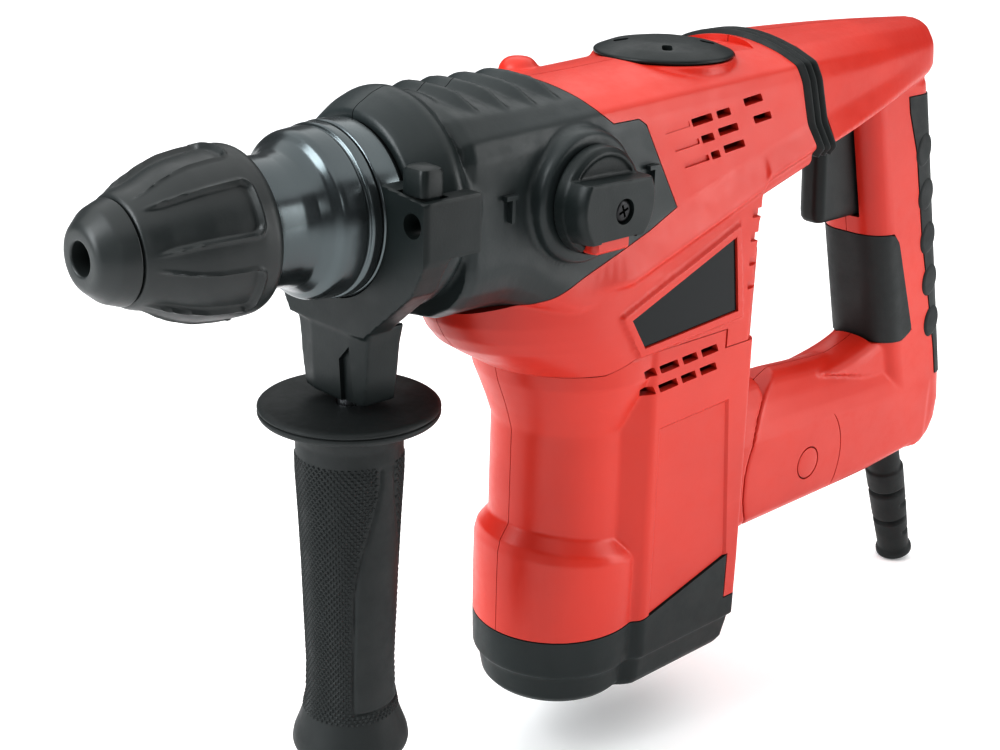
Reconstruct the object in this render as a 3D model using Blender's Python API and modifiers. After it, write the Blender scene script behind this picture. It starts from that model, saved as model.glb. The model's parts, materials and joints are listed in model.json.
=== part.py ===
"""Rotary hammer with an upright motor: chuck, gear case, motor, side handle and sprung rear handle.

The tool axis runs along X with the chuck towards -X. The motor axis is the Z axis, and the flat foot
under the motor is at z = 0. Sizes are in millimetres and become metres when a mesh is made.
"""

import math

import bmesh
import bpy
from mathutils import Matrix, Vector

MM = 0.001
GAP = 0.3  # between two pieces that touch

# Overall sizes
AXIS = 210.0  # height of the tool axis above the foot
HALF_W = 35.5  # half width of the body's side faces
BODY_FRONT = -84.0
BODY_REAR = 86.0  # rear face of the body at its crown
REAR_LEAN = 0.25  # the rear face runs back by this much for each mm down
MOTOR_REAR = 71.0
WALL = 3.0
CASE_WALL = 4.0

# Chuck and spindle
NOSE_X = -203.0
SLEEVE_FRONT = -191.7
SLEEVE_REAR = -149.5
SLEEVE_R = 26.6
SLEEVE_STROKE = 8.0
BIT_R = 5.1  # socket for a 10 mm shank
SPINDLE_R = 14.5
CYLINDER_R = 11.0
SPINDLE_REAR = -37.0
SLIDE_FIT = 0.25  # radial clearance of the pieces that slide in the cylinder

# Neck and side handle
NECK_R = 20.9
COLLAR_R = 27.9
CLAMP_R = 27.0  # seat of the clamp band
BAND_THICK = 1.4
HANDLE_X = -105.0
FLANGE_R = 31.0
FLANGE_Z = 140.5
GRIP_BOTTOM = 10.0
CLAMP_FRONT = -113.5
BOLT_R = 4.0
STOP_Y, STOP_Z = -40.5, 213.0 - 210.0  # depth-stop hole, z from the tool axis

# Motor
SPLIT = AXIS - 71.0  # joint between the motor housing and the upper housing
BOOT_SEAM = 29.0
WAIST_R = 27.8
BULGE_R = 33.2
SHAFT_R = 4.0
CORE_R = 17.0
STATOR_IN, STATOR_OUT = 17.6, 24.4
PINION_R = 6.0

# Gears above the motor
CRANK_R = 29.5
IDLER_R = 22.0
CRANK_X = PINION_R + CRANK_R + 2 * GAP
IDLER_X = -(PINION_R + IDLER_R + 2 * GAP)
GEAR_Z = AXIS - 34.0
CRANK_THROW = 10.0
BEVEL_R = 26.0

# Mode dial
DIAL_X, DIAL_Z = -34.0, AXIS - 1.0
DIAL_R, KNOB_R = 22.6, 18.6
DIAL_FACE = 40.0  # distance of the dial's face from the middle plane

# Rear handle
PIVOT_X, PIVOT_Z = 140.0, 57.0
PIVOT_R = 44.6
PIN_R = 4.0
BELLOWS = 12.5
ARM_HALF_W = 17.5
GRIP_HALF_X, GRIP_HALF_Y, GRIP_CORNER = 25.0, 17.0, 12.0
GRIP_X, GRIP_Z, GRIP_RAKE = 204.6, 147.0, 0.2745
GRIP_WALL = 4.0
SKIN = 1.8  # thickness of the soft pads

PAINTS = {
    "red_plastic": ((0.80, 0.055, 0.025), 0.38, 0.0),
    "black_plastic": ((0.035, 0.042, 0.042), 0.5, 0.0),
    "black_rubber": ((0.025, 0.028, 0.028), 0.75, 0.0),
    "black_metal": ((0.05, 0.058, 0.06), 0.32, 0.7),
    "steel": ((0.55, 0.56, 0.57), 0.3, 1.0),
    "laminated_steel": ((0.30, 0.31, 0.32), 0.45, 0.9),
    "copper": ((0.72, 0.36, 0.18), 0.35, 1.0),
    "carbon": ((0.04, 0.04, 0.045), 0.8, 0.0),
    "brass": ((0.78, 0.58, 0.25), 0.3, 1.0),
    "gloss_black": ((0.012, 0.014, 0.016), 0.12, 0.0),
}


# ---------------------------------------------------------------- scene and materials


def clear_scene():
    for obj in list(bpy.data.objects):
        bpy.data.objects.remove(obj, do_unlink=True)


def make_collection(name, hidden):
    collection = bpy.data.collections.new(name)
    bpy.context.scene.collection.children.link(collection)
    collection.hide_render = hidden
    return collection


def paint(name):
    found = bpy.data.materials.get(name)
    if found:
        return found
    color, rough, metal = PAINTS[name]
    made = bpy.data.materials.new(name)
    made.use_nodes = True
    shader = made.node_tree.nodes["Principled BSDF"]
    shader.inputs["Base Color"].default_value = (*color, 1.0)
    shader.inputs["Roughness"].default_value = rough
    shader.inputs["Metallic"].default_value = metal
    return made


clear_scene()
PARTS = make_collection("rotary_hammer", False)
CUTTERS = make_collection("cutters", True)


def place(name, mesh, material=None):
    """A new object for a piece, or for a cutter when it has no material."""
    obj = bpy.data.objects.new(name, mesh)
    if material:
        PARTS.objects.link(obj)
        mesh.materials.append(paint(material))
    else:
        CUTTERS.objects.link(obj)
        obj.hide_render = True
        obj.display_type = "WIRE"
    return obj


# ---------------------------------------------------------------- shape helpers


def signed_area(points):
    closed = zip(points, points[1:] + points[:1])
    return 0.5 * sum(a[0] * b[1] - b[0] * a[1] for a, b in closed)


def offset_outline(points, distance):
    """The outline moved outwards by a distance, with sharp corners kept."""
    if signed_area(points) < 0:
        points = points[::-1]
    count = len(points)
    moved = []
    for i in range(count):
        here = Vector(points[i])
        before = (here - Vector(points[i - 1])).normalized()
        after = (Vector(points[(i + 1) % count]) - here).normalized()
        out_a = Vector((before.y, -before.x))
        out_b = Vector((after.y, -after.x))
        mitre = (out_a + out_b) / max(1.0 + out_a.dot(out_b), 0.3)
        moved.append(tuple(here + mitre * distance))
    return moved


AXES = {
    "X": Matrix.Rotation(math.radians(90), 4, "Y"),
    "Y": Matrix.Rotation(math.radians(-90), 4, "X"),
    "Z": Matrix.Identity(4),
}


def turned(name, profile, material=None, axis="Z", at=(0, 0, 0), steps=32):
    """A turned piece. The profile lists (distance along the axis, radius) once round its section."""
    points = [(radius, along) for along, radius in profile]
    if signed_area(points) > 0:
        points = points[::-1]
    count = len(points)
    on_axis = [i for i in range(count) if points[i][0] < 1e-6]
    if on_axis:
        first = next(i for i in on_axis if (i + 1) % count not in on_axis)
        points = points[first:] + points[:first]
        points = points[: count - len(on_axis) + 2]
    mesh = bpy.data.meshes.new(name)
    edges = [(i, i + 1) for i in range(len(points) - 1)]
    if not on_axis:
        edges.append((len(points) - 1, 0))
    mesh.from_pydata([(r * MM, 0, h * MM) for r, h in points], edges, [])
    obj = place(name, mesh, material)
    screw = obj.modifiers.new("turn", "SCREW")
    screw.axis = "Z"
    screw.steps = screw.render_steps = steps
    screw.use_merge_vertices = True
    screw.merge_threshold = 0.00001
    screw.use_smooth_shade = False
    obj.matrix_world = Matrix.Translation(Vector(at) * MM) @ AXES[axis]
    return obj


def tube(name, r_in, r_out, low, high, material=None, axis="Z", at=(0, 0, 0), steps=32):
    profile = [(low, r_in), (low, r_out), (high, r_out), (high, r_in)]
    return turned(name, profile, material, axis, at, steps)


def rod(name, radius, low, high, material=None, axis="Z", at=(0, 0, 0), steps=24):
    profile = [(low, 0), (low, radius), (high, radius), (high, 0)]
    return turned(name, profile, material, axis, at, steps)


SLAB_AXES = {
    "X": Matrix(((0, 0, 1, 0), (1, 0, 0, 0), (0, 1, 0, 0), (0, 0, 0, 1))),
    "Y": Matrix(((1, 0, 0, 0), (0, 0, -1, 0), (0, 1, 0, 0), (0, 0, 0, 1))),
    "Z": Matrix.Identity(4),
}


def slab(name, outline, axis, low, high, material=None, bevel=0.0):
    """A flat outline with thickness. Across X the outline is (y, z), across Y (x, z), across Z (x, y)."""
    curve = bpy.data.curves.new(name, "CURVE")
    curve.dimensions = "2D"
    curve.fill_mode = "BOTH"
    curve.extrude = abs(high - low) / 2 * MM
    spline = curve.splines.new("POLY")
    spline.points.add(len(outline) - 1)
    for point, (a, b) in zip(spline.points, outline):
        point.co = (a * MM, b * MM, 0, 1)
    spline.use_cyclic_u = True
    guide = bpy.data.objects.new(name + "_outline", curve)
    CUTTERS.objects.link(guide)
    middle = (low + high) / 2
    shift = {"X": (middle, 0, 0), "Y": (0, middle, 0), "Z": (0, 0, middle)}[axis]
    mesh = bpy.data.meshes.new_from_object(guide)
    bpy.data.objects.remove(guide, do_unlink=True)
    shape = bmesh.new()
    shape.from_mesh(mesh)
    bmesh.ops.remove_doubles(shape, verts=shape.verts, dist=1e-6)
    bmesh.ops.transform(shape, matrix=SLAB_AXES[axis], verts=shape.verts)
    bmesh.ops.translate(shape, vec=Vector(shift) * MM, verts=shape.verts)
    bmesh.ops.recalc_face_normals(shape, faces=shape.faces)
    shape.to_mesh(mesh)
    shape.free()
    obj = place(name, mesh, material)
    if bevel:
        add_bevel(obj, bevel)
    return obj


def box(name, low, high, material=None, bevel=0.0):
    shape = bmesh.new()
    bmesh.ops.create_cube(shape, size=1.0)
    size = [(b - a) * MM for a, b in zip(low, high)]
    middle = [(a + b) / 2 * MM for a, b in zip(low, high)]
    bmesh.ops.scale(shape, vec=size, verts=shape.verts)
    bmesh.ops.translate(shape, vec=middle, verts=shape.verts)
    mesh = bpy.data.meshes.new(name)
    shape.to_mesh(mesh)
    shape.free()
    obj = place(name, mesh, material)
    if bevel:
        add_bevel(obj, bevel)
    return obj


def add_bevel(obj, width):
    bevel = obj.modifiers.new("edges", "BEVEL")
    bevel.width = width * MM
    bevel.segments = 2
    bevel.limit_method = "ANGLE"


def loft(name, rings, material=None):
    """A closed body through rings of equally many (x, y, z) points."""
    shape = bmesh.new()
    rows = [[shape.verts.new(Vector(p) * MM) for p in ring] for ring in rings]
    for lower, upper in zip(rows, rows[1:]):
        for i in range(len(lower)):
            j = (i + 1) % len(lower)
            shape.faces.new((lower[i], lower[j], upper[j], upper[i]))
    bmesh.ops.triangulate(shape, faces=shape.faces)
    shape.faces.new(rows[0])
    shape.faces.new(rows[-1])
    bmesh.ops.recalc_face_normals(shape, faces=shape.faces)
    mesh = bpy.data.meshes.new(name)
    shape.to_mesh(mesh)
    shape.free()
    return place(name, mesh, material)


def mirrored(half):
    """A full ring from the half with y >= 0, whose first and last points are on the middle plane."""
    return half + [(x, -y, z) for x, y, z in half[-2:0:-1]]


def boolean(obj, other, operation):
    step = obj.modifiers.new(operation.lower(), "BOOLEAN")
    step.operation = operation
    step.object = other
    step.solver = "EXACT"
    return obj


def cut(obj, *cutters):
    for cutter in cutters:
        boolean(obj, cutter, "DIFFERENCE")
    return obj


def join(obj, *others):
    for other in others:
        boolean(obj, other, "UNION")
    return obj


def common(obj, *others):
    for other in others:
        boolean(obj, other, "INTERSECT")
    return obj


def hinge(name, at, pieces):
    """An empty on a joint's axis, with the joint's pieces under it."""
    pivot = bpy.data.objects.new(name, None)
    PARTS.objects.link(pivot)
    pivot.empty_display_size = 0.02
    pivot.location = Vector(at) * MM
    bpy.context.view_layer.update()
    for piece in pieces:
        piece.parent = pivot
        piece.matrix_parent_inverse = pivot.matrix_world.inverted()


def coil(name, start, direction, radius, wire, length, turns, material):
    """A compression spring along X or Z."""
    curve = bpy.data.curves.new(name, "CURVE")
    curve.dimensions = "3D"
    curve.bevel_depth = wire * MM
    curve.bevel_resolution = 2
    curve.use_fill_caps = True
    spline = curve.splines.new("POLY")
    count = turns * 12
    spline.points.add(count)
    for i in range(count + 1):
        angle = 2 * math.pi * i / 12
        along = length * i / count
        across = (radius * math.cos(angle), radius * math.sin(angle))
        local = (along, *across) if direction == "X" else (*across, along)
        point = Vector(start) + Vector(local)
        spline.points[i].co = (*(point * MM), 1)
    obj = bpy.data.objects.new(name, curve)
    PARTS.objects.link(obj)
    curve.materials.append(paint(material))
    return obj


def gear_outline(radius, teeth, depth, centre):
    """Teeth cut inwards from the pitch circle, so that two gears never overlap."""
    points = []
    for i in range(teeth * 4):
        angle = 2 * math.pi * (i + 0.5) / (teeth * 4)
        reach = radius - depth * (i % 4 in (2, 3))
        points.append((centre[0] + reach * math.cos(angle), centre[1] + reach * math.sin(angle)))
    return points


def clamp01(value):
    return min(1.0, max(0.0, value))


def blend(a, b, share):
    return a + (b - a) * share


# ---------------------------------------------------------------- outer form of the body


def crown(x):
    return AXIS + 33.0 + 4.0 * clamp01((x + 20) / 110)


def shoulder(x):
    return AXIS + 22.3 + 0.0403 * (x + 84)


def ledge(x):
    """Height of the upper edge of the slanted ledge along the side."""
    return AXIS - 20.7 + 0.2756 * (x + 5.1)


def body_section(x, inset=0.0, floor=None):
    """Half of the upper body's cross-section at x, from the crown down to the floor."""
    top, side, z_ledge = crown(x) - inset, shoulder(x) - inset, ledge(x)
    grow = clamp01((x + 25) / 20)
    depth = AXIS - 45 if x <= 66 else z_ledge - 18
    z_floor = max(depth, AXIS - 45)
    z_low = max(z_ledge - 12, z_floor + 9)
    width = HALF_W - inset
    upper = [
        (0, top),
        (11, top - 0.9),
        (21, top - 3.4),
        (HALF_W - 4.5 - inset, side),
        (HALF_W - 2.3 - inset, side - 6),
    ]
    open_side = [
        (HALF_W - 1 - inset, max(z_ledge, z_low + 3)),
        (width + 3 * grow * (inset == 0), z_low),
        (width, z_low - 3),
        (width, z_floor + 3 + inset),
        (width - 2, z_floor + inset),
        (width / 2, z_floor + inset),
        (0, z_floor + inset),
    ]
    bowl = [
        (HALF_W - 1 - inset, AXIS - 12),
        (HALF_W - 0.5 - inset, AXIS - 20),
        (HALF_W - 1 - inset, AXIS - 23),
        (HALF_W - 3 - inset, AXIS - 28),
        (HALF_W - 8.5 - inset, AXIS - 34 + inset / 2),
        (HALF_W - 20 - inset, AXIS - 40 + inset),
        (0, AXIS - 42 + inset),
    ]
    share = clamp01((x + 66) / 40)
    lower = [(blend(a[0], b[0], share), blend(a[1], b[1], share)) for a, b in zip(bowl, open_side)]
    if floor is not None:
        lower = [(y, max(z, floor)) for y, z in lower]
    return [(x, y, z) for y, z in upper + lower]


def scaled_section(x, scale):
    return [(x, y * scale, AXIS + (z - AXIS) * scale) for _, y, z in body_section(x)]


def upper_body(name, inset=0.0, start=BODY_FRONT, end=BODY_REAR + 14):
    """The long upper body as one loft along X."""
    stations = [-78, -66, -54, -41, -25, -5, 20, 45, 66, 68, 84]
    stations = [s for s in stations if start + 2 < s < end - 2]
    rings = [mirrored(body_section(s, inset)) for s in stations]
    first = scaled_section(start, 0.955) if inset == 0 else body_section(start, inset)
    return loft(name, [mirrored(first)] + rings + [mirrored(body_section(end, inset))])


def d_section(z, front, half_w, rear, nose, inset=0.0):
    """A section across Z: an elliptical front, flat sides and a square rear."""
    half = []
    for i in range(9):
        angle = math.radians(90 * i / 8)
        x = front + nose - (nose - inset) * math.cos(angle)
        half.append((x, (half_w - inset) * math.sin(angle), z))
    half.append((rear - 6, half_w - inset, z))
    half.append((rear - inset, half_w - 4 - inset, z))
    half.append((rear - inset, 0, z))
    return mirrored(half)


def belly(name, inset=0.0, low=0.0):
    """The rounded belly of the upper housing, between the motor and the gear case."""
    levels = [
        (SPLIT - 6, -35.8, 35.2, 36),
        (SPLIT, -38.0, 35.4, 38),
        (AXIS - 64, -50.0, 35.4, 44),
        (AXIS - 59, -58.0, 35.4, 48),
        (AXIS - 50, -65.0, 35.4, 52),
        (AXIS - 38, -68.0, 35.4, 54),
    ]
    spare = 35.5 - HALF_W
    rings = [
        d_section(z - low * (i == 0), front, w - spare, MOTOR_REAR, nose, inset)
        for i, (z, front, w, nose) in enumerate(levels)
    ]
    return loft(name, rings)


def motor_barrel(name, inset=0.0, low=0.0, high=146.0):
    """The round front of the motor housing: a bulge, a waist and a flare."""
    levels = [
        (0.0, 24.5),
        (2.5, 27.8),
        (8.0, 31.0),
        (14.0, 32.6),
        (28.0, 33.0),
        (60.0, BULGE_R),
        (70.0, BULGE_R - 1.0),
        (76.0, BULGE_R - 2.7),
        (82.0, WAIST_R),
        (SPLIT - 27, WAIST_R + 0.2),
        (SPLIT - 21, WAIST_R + 2.0),
        (SPLIT - 14, WAIST_R + 4.6),
        (SPLIT - 6, 35.8),
        (SPLIT + 4, 38.0),
    ]
    levels = [(z, r) for z, r in levels if low <= z <= high]
    rings = []
    for z, r in levels:
        around = [math.radians(360 * i / 32) for i in range(32)]
        across = min(r, HALF_W - 0.3) - inset
        rings.append([((r - inset) * math.cos(a), across * math.sin(a), z) for a in around])
    return loft(name, rings)


def motor_panel(name, inset=0.0, front=10.0, low=0.0):
    """The flat-sided rear part of the motor housing."""
    levels = [
        (0.0, 29.0, MOTOR_REAR - 5),
        (3.0, 31.5, MOTOR_REAR - 1),
        (13.6, HALF_W - 2.5, MOTOR_REAR + 1.5),
        (14.4, HALF_W - 0.7, MOTOR_REAR + 2),
        (SPLIT + 7, HALF_W - 0.5, MOTOR_REAR),
    ]
    rings = []
    for z, w, rear in levels:
        if z < low:
            continue
        w, rear = w - inset, rear - inset
        half = [(front, 0), (front, w), (rear - 3, w), (rear, w - 3), (rear, 0)]
        rings.append(mirrored([(x, y, z) for x, y in half]))
    return loft(name, rings)


def rear_plane(offset):
    """Outline in (x, z) of everything behind the body's leaning rear face, moved back by an offset."""
    low, high = AXIS - 80, AXIS + 60
    lean = [(BODY_REAR + offset + REAR_LEAN * (AXIS + 35 - z), z) for z in (low, high)]
    return lean + [(lean[0][0] + 400, high), (lean[0][0] + 400, low)]


CASE_REGION = [
    (-150, AXIS + 60),
    (-27, AXIS + 60),
    (-27, AXIS + 33),
    (-21.4, AXIS + 24.5),
    (-16.1, AXIS + 20.4),
    (-3.4, AXIS + 20.5),
    (0.2, AXIS + 18.1),
    (17.0, AXIS - 10.9),
    (2.5, AXIS - 16.9),
    (-60.5, AXIS - 37.7),
    (-70.0, AXIS - 43.0),
    (-150, AXIS - 43.0),
]

UPPER_REGION = [
    (-90, SPLIT),
    (-14, SPLIT),
    (0, SPLIT + 4),
    (52, SPLIT + 4),
    (52, SPLIT - 3.5),
    (130, SPLIT - 3.5),
    (130, AXIS + 80),
    (-90, AXIS + 80),
]

BOOT_REGION = [
    (-60, BOOT_SEAM - 1),
    (12, BOOT_SEAM + 2),
    (63.5, BOOT_SEAM + 15),
    (63.5, BOOT_SEAM - 5),
    (110, BOOT_SEAM - 5),
    (110, -20),
    (-60, -20),
]


def half_space(name, side):
    """Everything on one side of the middle plane. The photographed left side has y < 0."""
    low, high = (-120, -GAP / 2) if side == "left" else (GAP / 2, 120)
    return box(name, (-260, low, -80), (330, high, 330))


# ---------------------------------------------------------------- housings


def make_gear_case():
    case = upper_body("gear_case")
    PARTS.objects.link(case)
    CUTTERS.objects.unlink(case)
    case.hide_render = False
    case.display_type = "SOLID"
    case.data.materials.append(paint("black_plastic"))
    lip = turned(
        "case_lip",
        [(-103.5, 0), (-103.5, 30), (-101.5, 33.8), (-97, 36.4), (-92, 37.7), (-79, 37.0), (-79, 0)],
        axis="X",
        at=(0, 0, AXIS),
        steps=40,
    )
    boss = rod("case_boss", DIAL_R, -DIAL_FACE, -HALF_W + 6, axis="Y", at=(DIAL_X, 0, DIAL_Z), steps=40)
    region = slab("case_region", CASE_REGION, "Y", -80, 80)
    hollow = upper_body("case_hollow", inset=CASE_WALL, start=-80, end=40)
    front_bore = rod("case_bore", CLAMP_R + GAP, -110, -70, axis="X", at=(0, 0, AXIS), steps=38)
    dial_bore = rod("case_dial_bore", 5.3, -60, -20, axis="Y", at=(DIAL_X, 0, DIAL_Z))
    join(case, lip, boss)
    cut(case, dial_bore, hollow, front_bore)
    common(case, region)
    return case


def make_upper_housing():
    outer = upper_body("upper_outer")
    join(outer, belly("belly_outer"))
    keep = slab("upper_region", offset_outline(UPPER_REGION, -GAP / 2), "Y", -80, 80)
    case = slab("case_cut", offset_outline(CASE_REGION, GAP), "Y", -80, 80)
    rear = slab("rear_cut", rear_plane(0), "Y", -80, 80)
    front_hollow = upper_body("upper_hollow", inset=WALL, start=-80, end=57)
    rear_hollow = upper_body("upper_rear_hollow", inset=WALL, start=61, end=BODY_REAR + 14)
    gear_room = box("gear_room", (40, -HALF_W + WALL + 0.5, AXIS - 44), (MOTOR_REAR - WALL, HALF_W - WALL - 0.5, AXIS - 12))
    belly_hollow = belly("belly_hollow", inset=WALL, low=10)
    cap_hole = rod("cap_hole", 24.3, AXIS + 20, AXIS + 70, at=(44, 0, 0), steps=40)
    guide_hole = rod("guide_hole", 3.8, 50, 70, axis="X", at=(0, 0, AXIS + 15))
    label_cut = slab("label_cut", offset_outline(LABEL, GAP), "Y", -HALF_W - 5, -HALF_W + 1.2)
    common(outer, keep)
    cut(outer, case, rear, front_hollow, rear_hollow, gear_room, belly_hollow, cap_hole, guide_hole)
    cut(outer, label_cut)
    halves = []
    for side in ("left", "right"):
        half = half_space("upper_housing_" + side, side)
        make_visible(half, "red_plastic")
        common(half, outer)
        halves.append(half)
    return halves


def make_visible(obj, material):
    CUTTERS.objects.unlink(obj)
    PARTS.objects.link(obj)
    obj.hide_render = False
    obj.display_type = "SOLID"
    obj.data.materials.append(paint(material))


LABEL = [
    (-4.8, AXIS - 51.3),
    (51.1, AXIS - 30.5),
    (55.3, AXIS - 59.7),
    (2.7, AXIS - 63.0),
]


def make_label():
    return slab("label_plate", LABEL, "Y", -HALF_W - 0.3, -HALF_W + 0.9, "gloss_black")


def make_motor_housing():
    outer = motor_barrel("motor_outer")
    join(outer, motor_panel("panel_outer"), lug_outer())
    upper = slab("upper_cut", offset_outline(UPPER_REGION, GAP / 2), "Y", -80, 80)
    boot = slab("boot_cut", offset_outline(BOOT_REGION, GAP / 2), "Y", -80, 80)
    barrel_hollow = motor_barrel("barrel_hollow", inset=WALL, low=8.0)
    panel_hollow = motor_panel("panel_hollow", inset=WALL, front=10 + WALL, low=10.0)
    pin_hole = rod("tongue_hole", PIN_R + GAP, -30, 30, axis="Y", at=(PIVOT_X, 0, PIVOT_Z))
    cut(outer, upper, boot, barrel_hollow, panel_hollow, pin_hole)
    halves = []
    for side in ("left", "right"):
        half = half_space("motor_housing_" + side, side)
        make_visible(half, "red_plastic")
        common(half, outer)
        halves.append(half)
    return halves


def lug_outer():
    """The lug behind the motor housing, hollowed round the handle's end, with the tongue for the pin."""
    lug = loft("lug_outer", [mirrored(arm_section(x)) for x in (MOTOR_REAR - 2.5, 112)])
    end = rod("lug_end", PIVOT_R + 0.7, -40, 40, axis="Y", at=(PIVOT_X, 0, PIVOT_Z), steps=64)
    tongue = box("tongue", (94, -6, PIVOT_Z - 9), (PIVOT_X + 8, 6, PIVOT_Z + 9))
    cut(lug, end)
    join(lug, tongue)
    return lug


def make_boot():
    boot = motor_barrel("motor_end_cap", high=60.0)
    make_visible(boot, "black_plastic")
    join(boot, motor_panel("boot_panel"))
    region = slab("boot_region", offset_outline(BOOT_REGION, -GAP / 2), "Y", -80, 80)
    hollow = motor_barrel("boot_hollow", inset=WALL, low=8.0, high=60.0)
    panel_hollow = motor_panel("boot_panel_hollow", inset=WALL, front=10 + WALL, low=10.0)
    common(boot, region)
    cut(boot, hollow, panel_hollow)
    return boot


def make_service_cap():
    z = AXIS
    profile = [(z + 31, 0), (z + 31, 24), (z + 34, 24), (z + 36.5, 20), (z + 38.2, 12), (z + 38.8, 0)]
    return turned("service_cap", profile, "black_plastic", at=(44, 0, 0), steps=40)


# ---------------------------------------------------------------- rear handle


def arm_section(x, inset=0.0):
    """Half of the lower arm's section: a crested top and upright sides."""
    drop = clamp01((x - 180) / 60)
    crest = 101.0 - 4.0 * clamp01((x - 110) / 60)
    half = [
        (0, crest),
        (5, crest - 0.8),
        (12, 90.0),
        (ARM_HALF_W, 77.0 - 4 * clamp01((x - 105) / 100)),
        (ARM_HALF_W, 42.0 + 2 * drop),
        (ARM_HALF_W - 3, 38.0 + 3 * drop),
        (0, 37.5 + 3 * drop),
    ]
    middle = 66.0
    shrink_z = 1 - inset / 30.0
    return [(x, max(y - inset, 0) if y else 0, middle + (z - middle) * shrink_z) for y, z in half]


def grip_centre(z):
    return GRIP_X - (z - GRIP_Z) * GRIP_RAKE


GRIP_FOOT = [(41.5, 218, 238), (45.5, 211, 246.5), (52, 206, 250.5), (62, 203, 251.5), (76, 200, 249)]


def grip_ring(z, front, rear, narrow=0.0, inset=0.0, corners=3):
    """The grip's rounded rectangle across Z."""
    middle, a = (front + rear) / 2, (rear - front) / 2 - inset
    b, r = GRIP_HALF_Y - narrow - inset, min(GRIP_CORNER - narrow, (rear - front) / 2 - 1) - inset * 0.6
    ring = []
    for k, (sx, sy) in enumerate(((1, 1), (-1, 1), (-1, -1), (1, -1))):
        for i in range(corners + 1):
            angle = math.radians(90 * (k + i / corners))
            x = sx * (a - r) + r * math.cos(angle)
            y = sy * (b - r) + r * math.sin(angle)
            ring.append((middle + x, y, z))
    return ring


def grip_body(name, inset=0.0, low=41.0, high=AXIS + 18.0):
    """The upright grip, with its rounded foot at the end of the lower arm."""
    rows = [row for row in GRIP_FOOT if row[0] > low]
    for z in (100.0, 150.0, 190.0, high - 10):
        rows.append((z, grip_centre(z) - GRIP_HALF_X, grip_centre(z) + GRIP_HALF_X))
    rows.append((high, grip_centre(high) - GRIP_HALF_X + 4, grip_centre(high) + GRIP_HALF_X - 6, 5))
    return loft(name, [grip_ring(*row, inset=inset) for row in rows])


def head_section(x, inset=0.0):
    """Half of the handle's head, which narrows towards its tail."""
    t = clamp01((x - 100) / 122)
    top = blend(AXIS + 37.2, AXIS + 33.0, t**2.2)
    half_w = blend(HALF_W, 11.0, t**1.35)
    side = blend(shoulder(100), AXIS + 25.0, t)
    z_ledge = blend(AXIS + 8.0, AXIS + 22.5, t)
    z_low = z_ledge - blend(11.0, 7.0, t)
    bulge = 3.0 * (1 - t) * (inset == 0)
    half = [
        (0, top - inset),
        (0.31 * half_w, top - 0.9 - inset),
        (0.6 * half_w, top - 3.0 - inset),
        (0.87 * half_w - inset, min(side, top - 4.5) - inset),
        (0.935 * half_w - inset, min(side, top - 4.5) - blend(6, 1.5, t)),
        (0.97 * half_w - inset, z_ledge),
        (half_w + bulge - inset, z_low),
        (0.97 * half_w - inset, z_low - 2 + inset * 0.5),
        (0.5 * half_w, z_low - 4 + inset),
        (0, z_low - 4 + inset),
    ]
    return [(x, max(y, 0), z) for y, z in half]


def handle_outer():
    head = loft("handle_head", [mirrored(head_section(x)) for x in (96, 120, 145, 170, 190, 206, 216, 222)])
    grip = grip_body("handle_grip")
    arm = loft("handle_arm", [mirrored(arm_section(x)) for x in (97, 130, 180, 215, 234)])
    block = box("arm_end_block", (80, -40, 0), (PIVOT_X, 40, 130))
    cut(block, rod("arm_end_round", PIVOT_R, -50, 50, axis="Y", at=(PIVOT_X, 0, PIVOT_Z), steps=64))
    cut(arm, block)
    outer = join(head, grip, arm)
    front = slab("handle_front_cut", [(-200, AXIS - 40)] + head_front() + [(-200, AXIS + 60)], "Y", -80, 80)
    cut(outer, front)
    return outer


def head_front():
    """Two points (x, z) on the leaning front face of the head."""
    offset = BODY_REAR + BELLOWS + 2 * GAP
    return [(offset + REAR_LEAN * (AXIS + 35 - z), z) for z in (AXIS - 40, AXIS + 60)]


PAD_REGION = [(191, 99.5), (176, 152), (190, 152), (195, 147), (213, 102), (205, 99.5)]


def strip_region(grow=0.0):
    """Everything behind the front edge of the rear strip."""
    edge = [(190, 213), (193, 206), (201, 187), (213, 147), (234, 90), (238, 76)]
    return offset_outline(edge + [(300, 76), (300, 213)], grow)


def make_rear_handle():
    outer = handle_outer()
    hollow = grip_body("grip_hollow", inset=GRIP_WALL, low=50, high=AXIS + 10)
    head_hollow = loft("head_hollow", [mirrored(head_section(x, WALL)) for x in (90, 120, 145, 170, 190, 204)])
    arm_hollow = loft("arm_hollow", [mirrored(arm_section(x, WALL)) for x in (90, 130, 180, 232)])
    trigger_slot = box("trigger_slot", (120, -6.9, 160.4), (190, 6.9, 204.4))
    pin_hole = rod("handle_pin_hole", PIN_R + GAP, -60, 60, axis="Y", at=(PIVOT_X, 0, PIVOT_Z))
    cord_hole = cord_axis_piece("cord_hole", [(-12, 0), (-12, 8.3), (30, 8.3), (30, 0)])
    core = grip_body("skin_core", inset=SKIN + GAP)
    pad_cut = slab("pad_cut", offset_outline(PAD_REGION, GAP), "Y", -60, 60)
    strip_cut = slab("strip_cut", strip_region(GAP), "Y", -60, 60)
    cut(pad_cut, core)
    cut(strip_cut, core)
    cut(outer, hollow, head_hollow, arm_hollow, trigger_slot, pin_hole, cord_hole, pad_cut, strip_cut)
    pieces = []
    for side in ("left", "right"):
        half = half_space("handle_shell_" + side, side)
        make_visible(half, "red_plastic")
        common(half, outer)
        pieces.append(half)
    return pieces


def make_grip_skins():
    inner = grip_body("skin_inner", inset=SKIN)
    pad = grip_body("front_grip_pad")
    make_visible(pad, "black_rubber")
    common(pad, slab("pad_region", PAD_REGION, "Y", -60, 60))
    cut(pad, inner)
    strip = grip_body("rear_grip_strip")
    make_visible(strip, "black_rubber")
    common(strip, slab("strip_region", strip_region(), "Y", -60, 60))
    cut(strip, inner)
    return [pad, strip]


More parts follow.
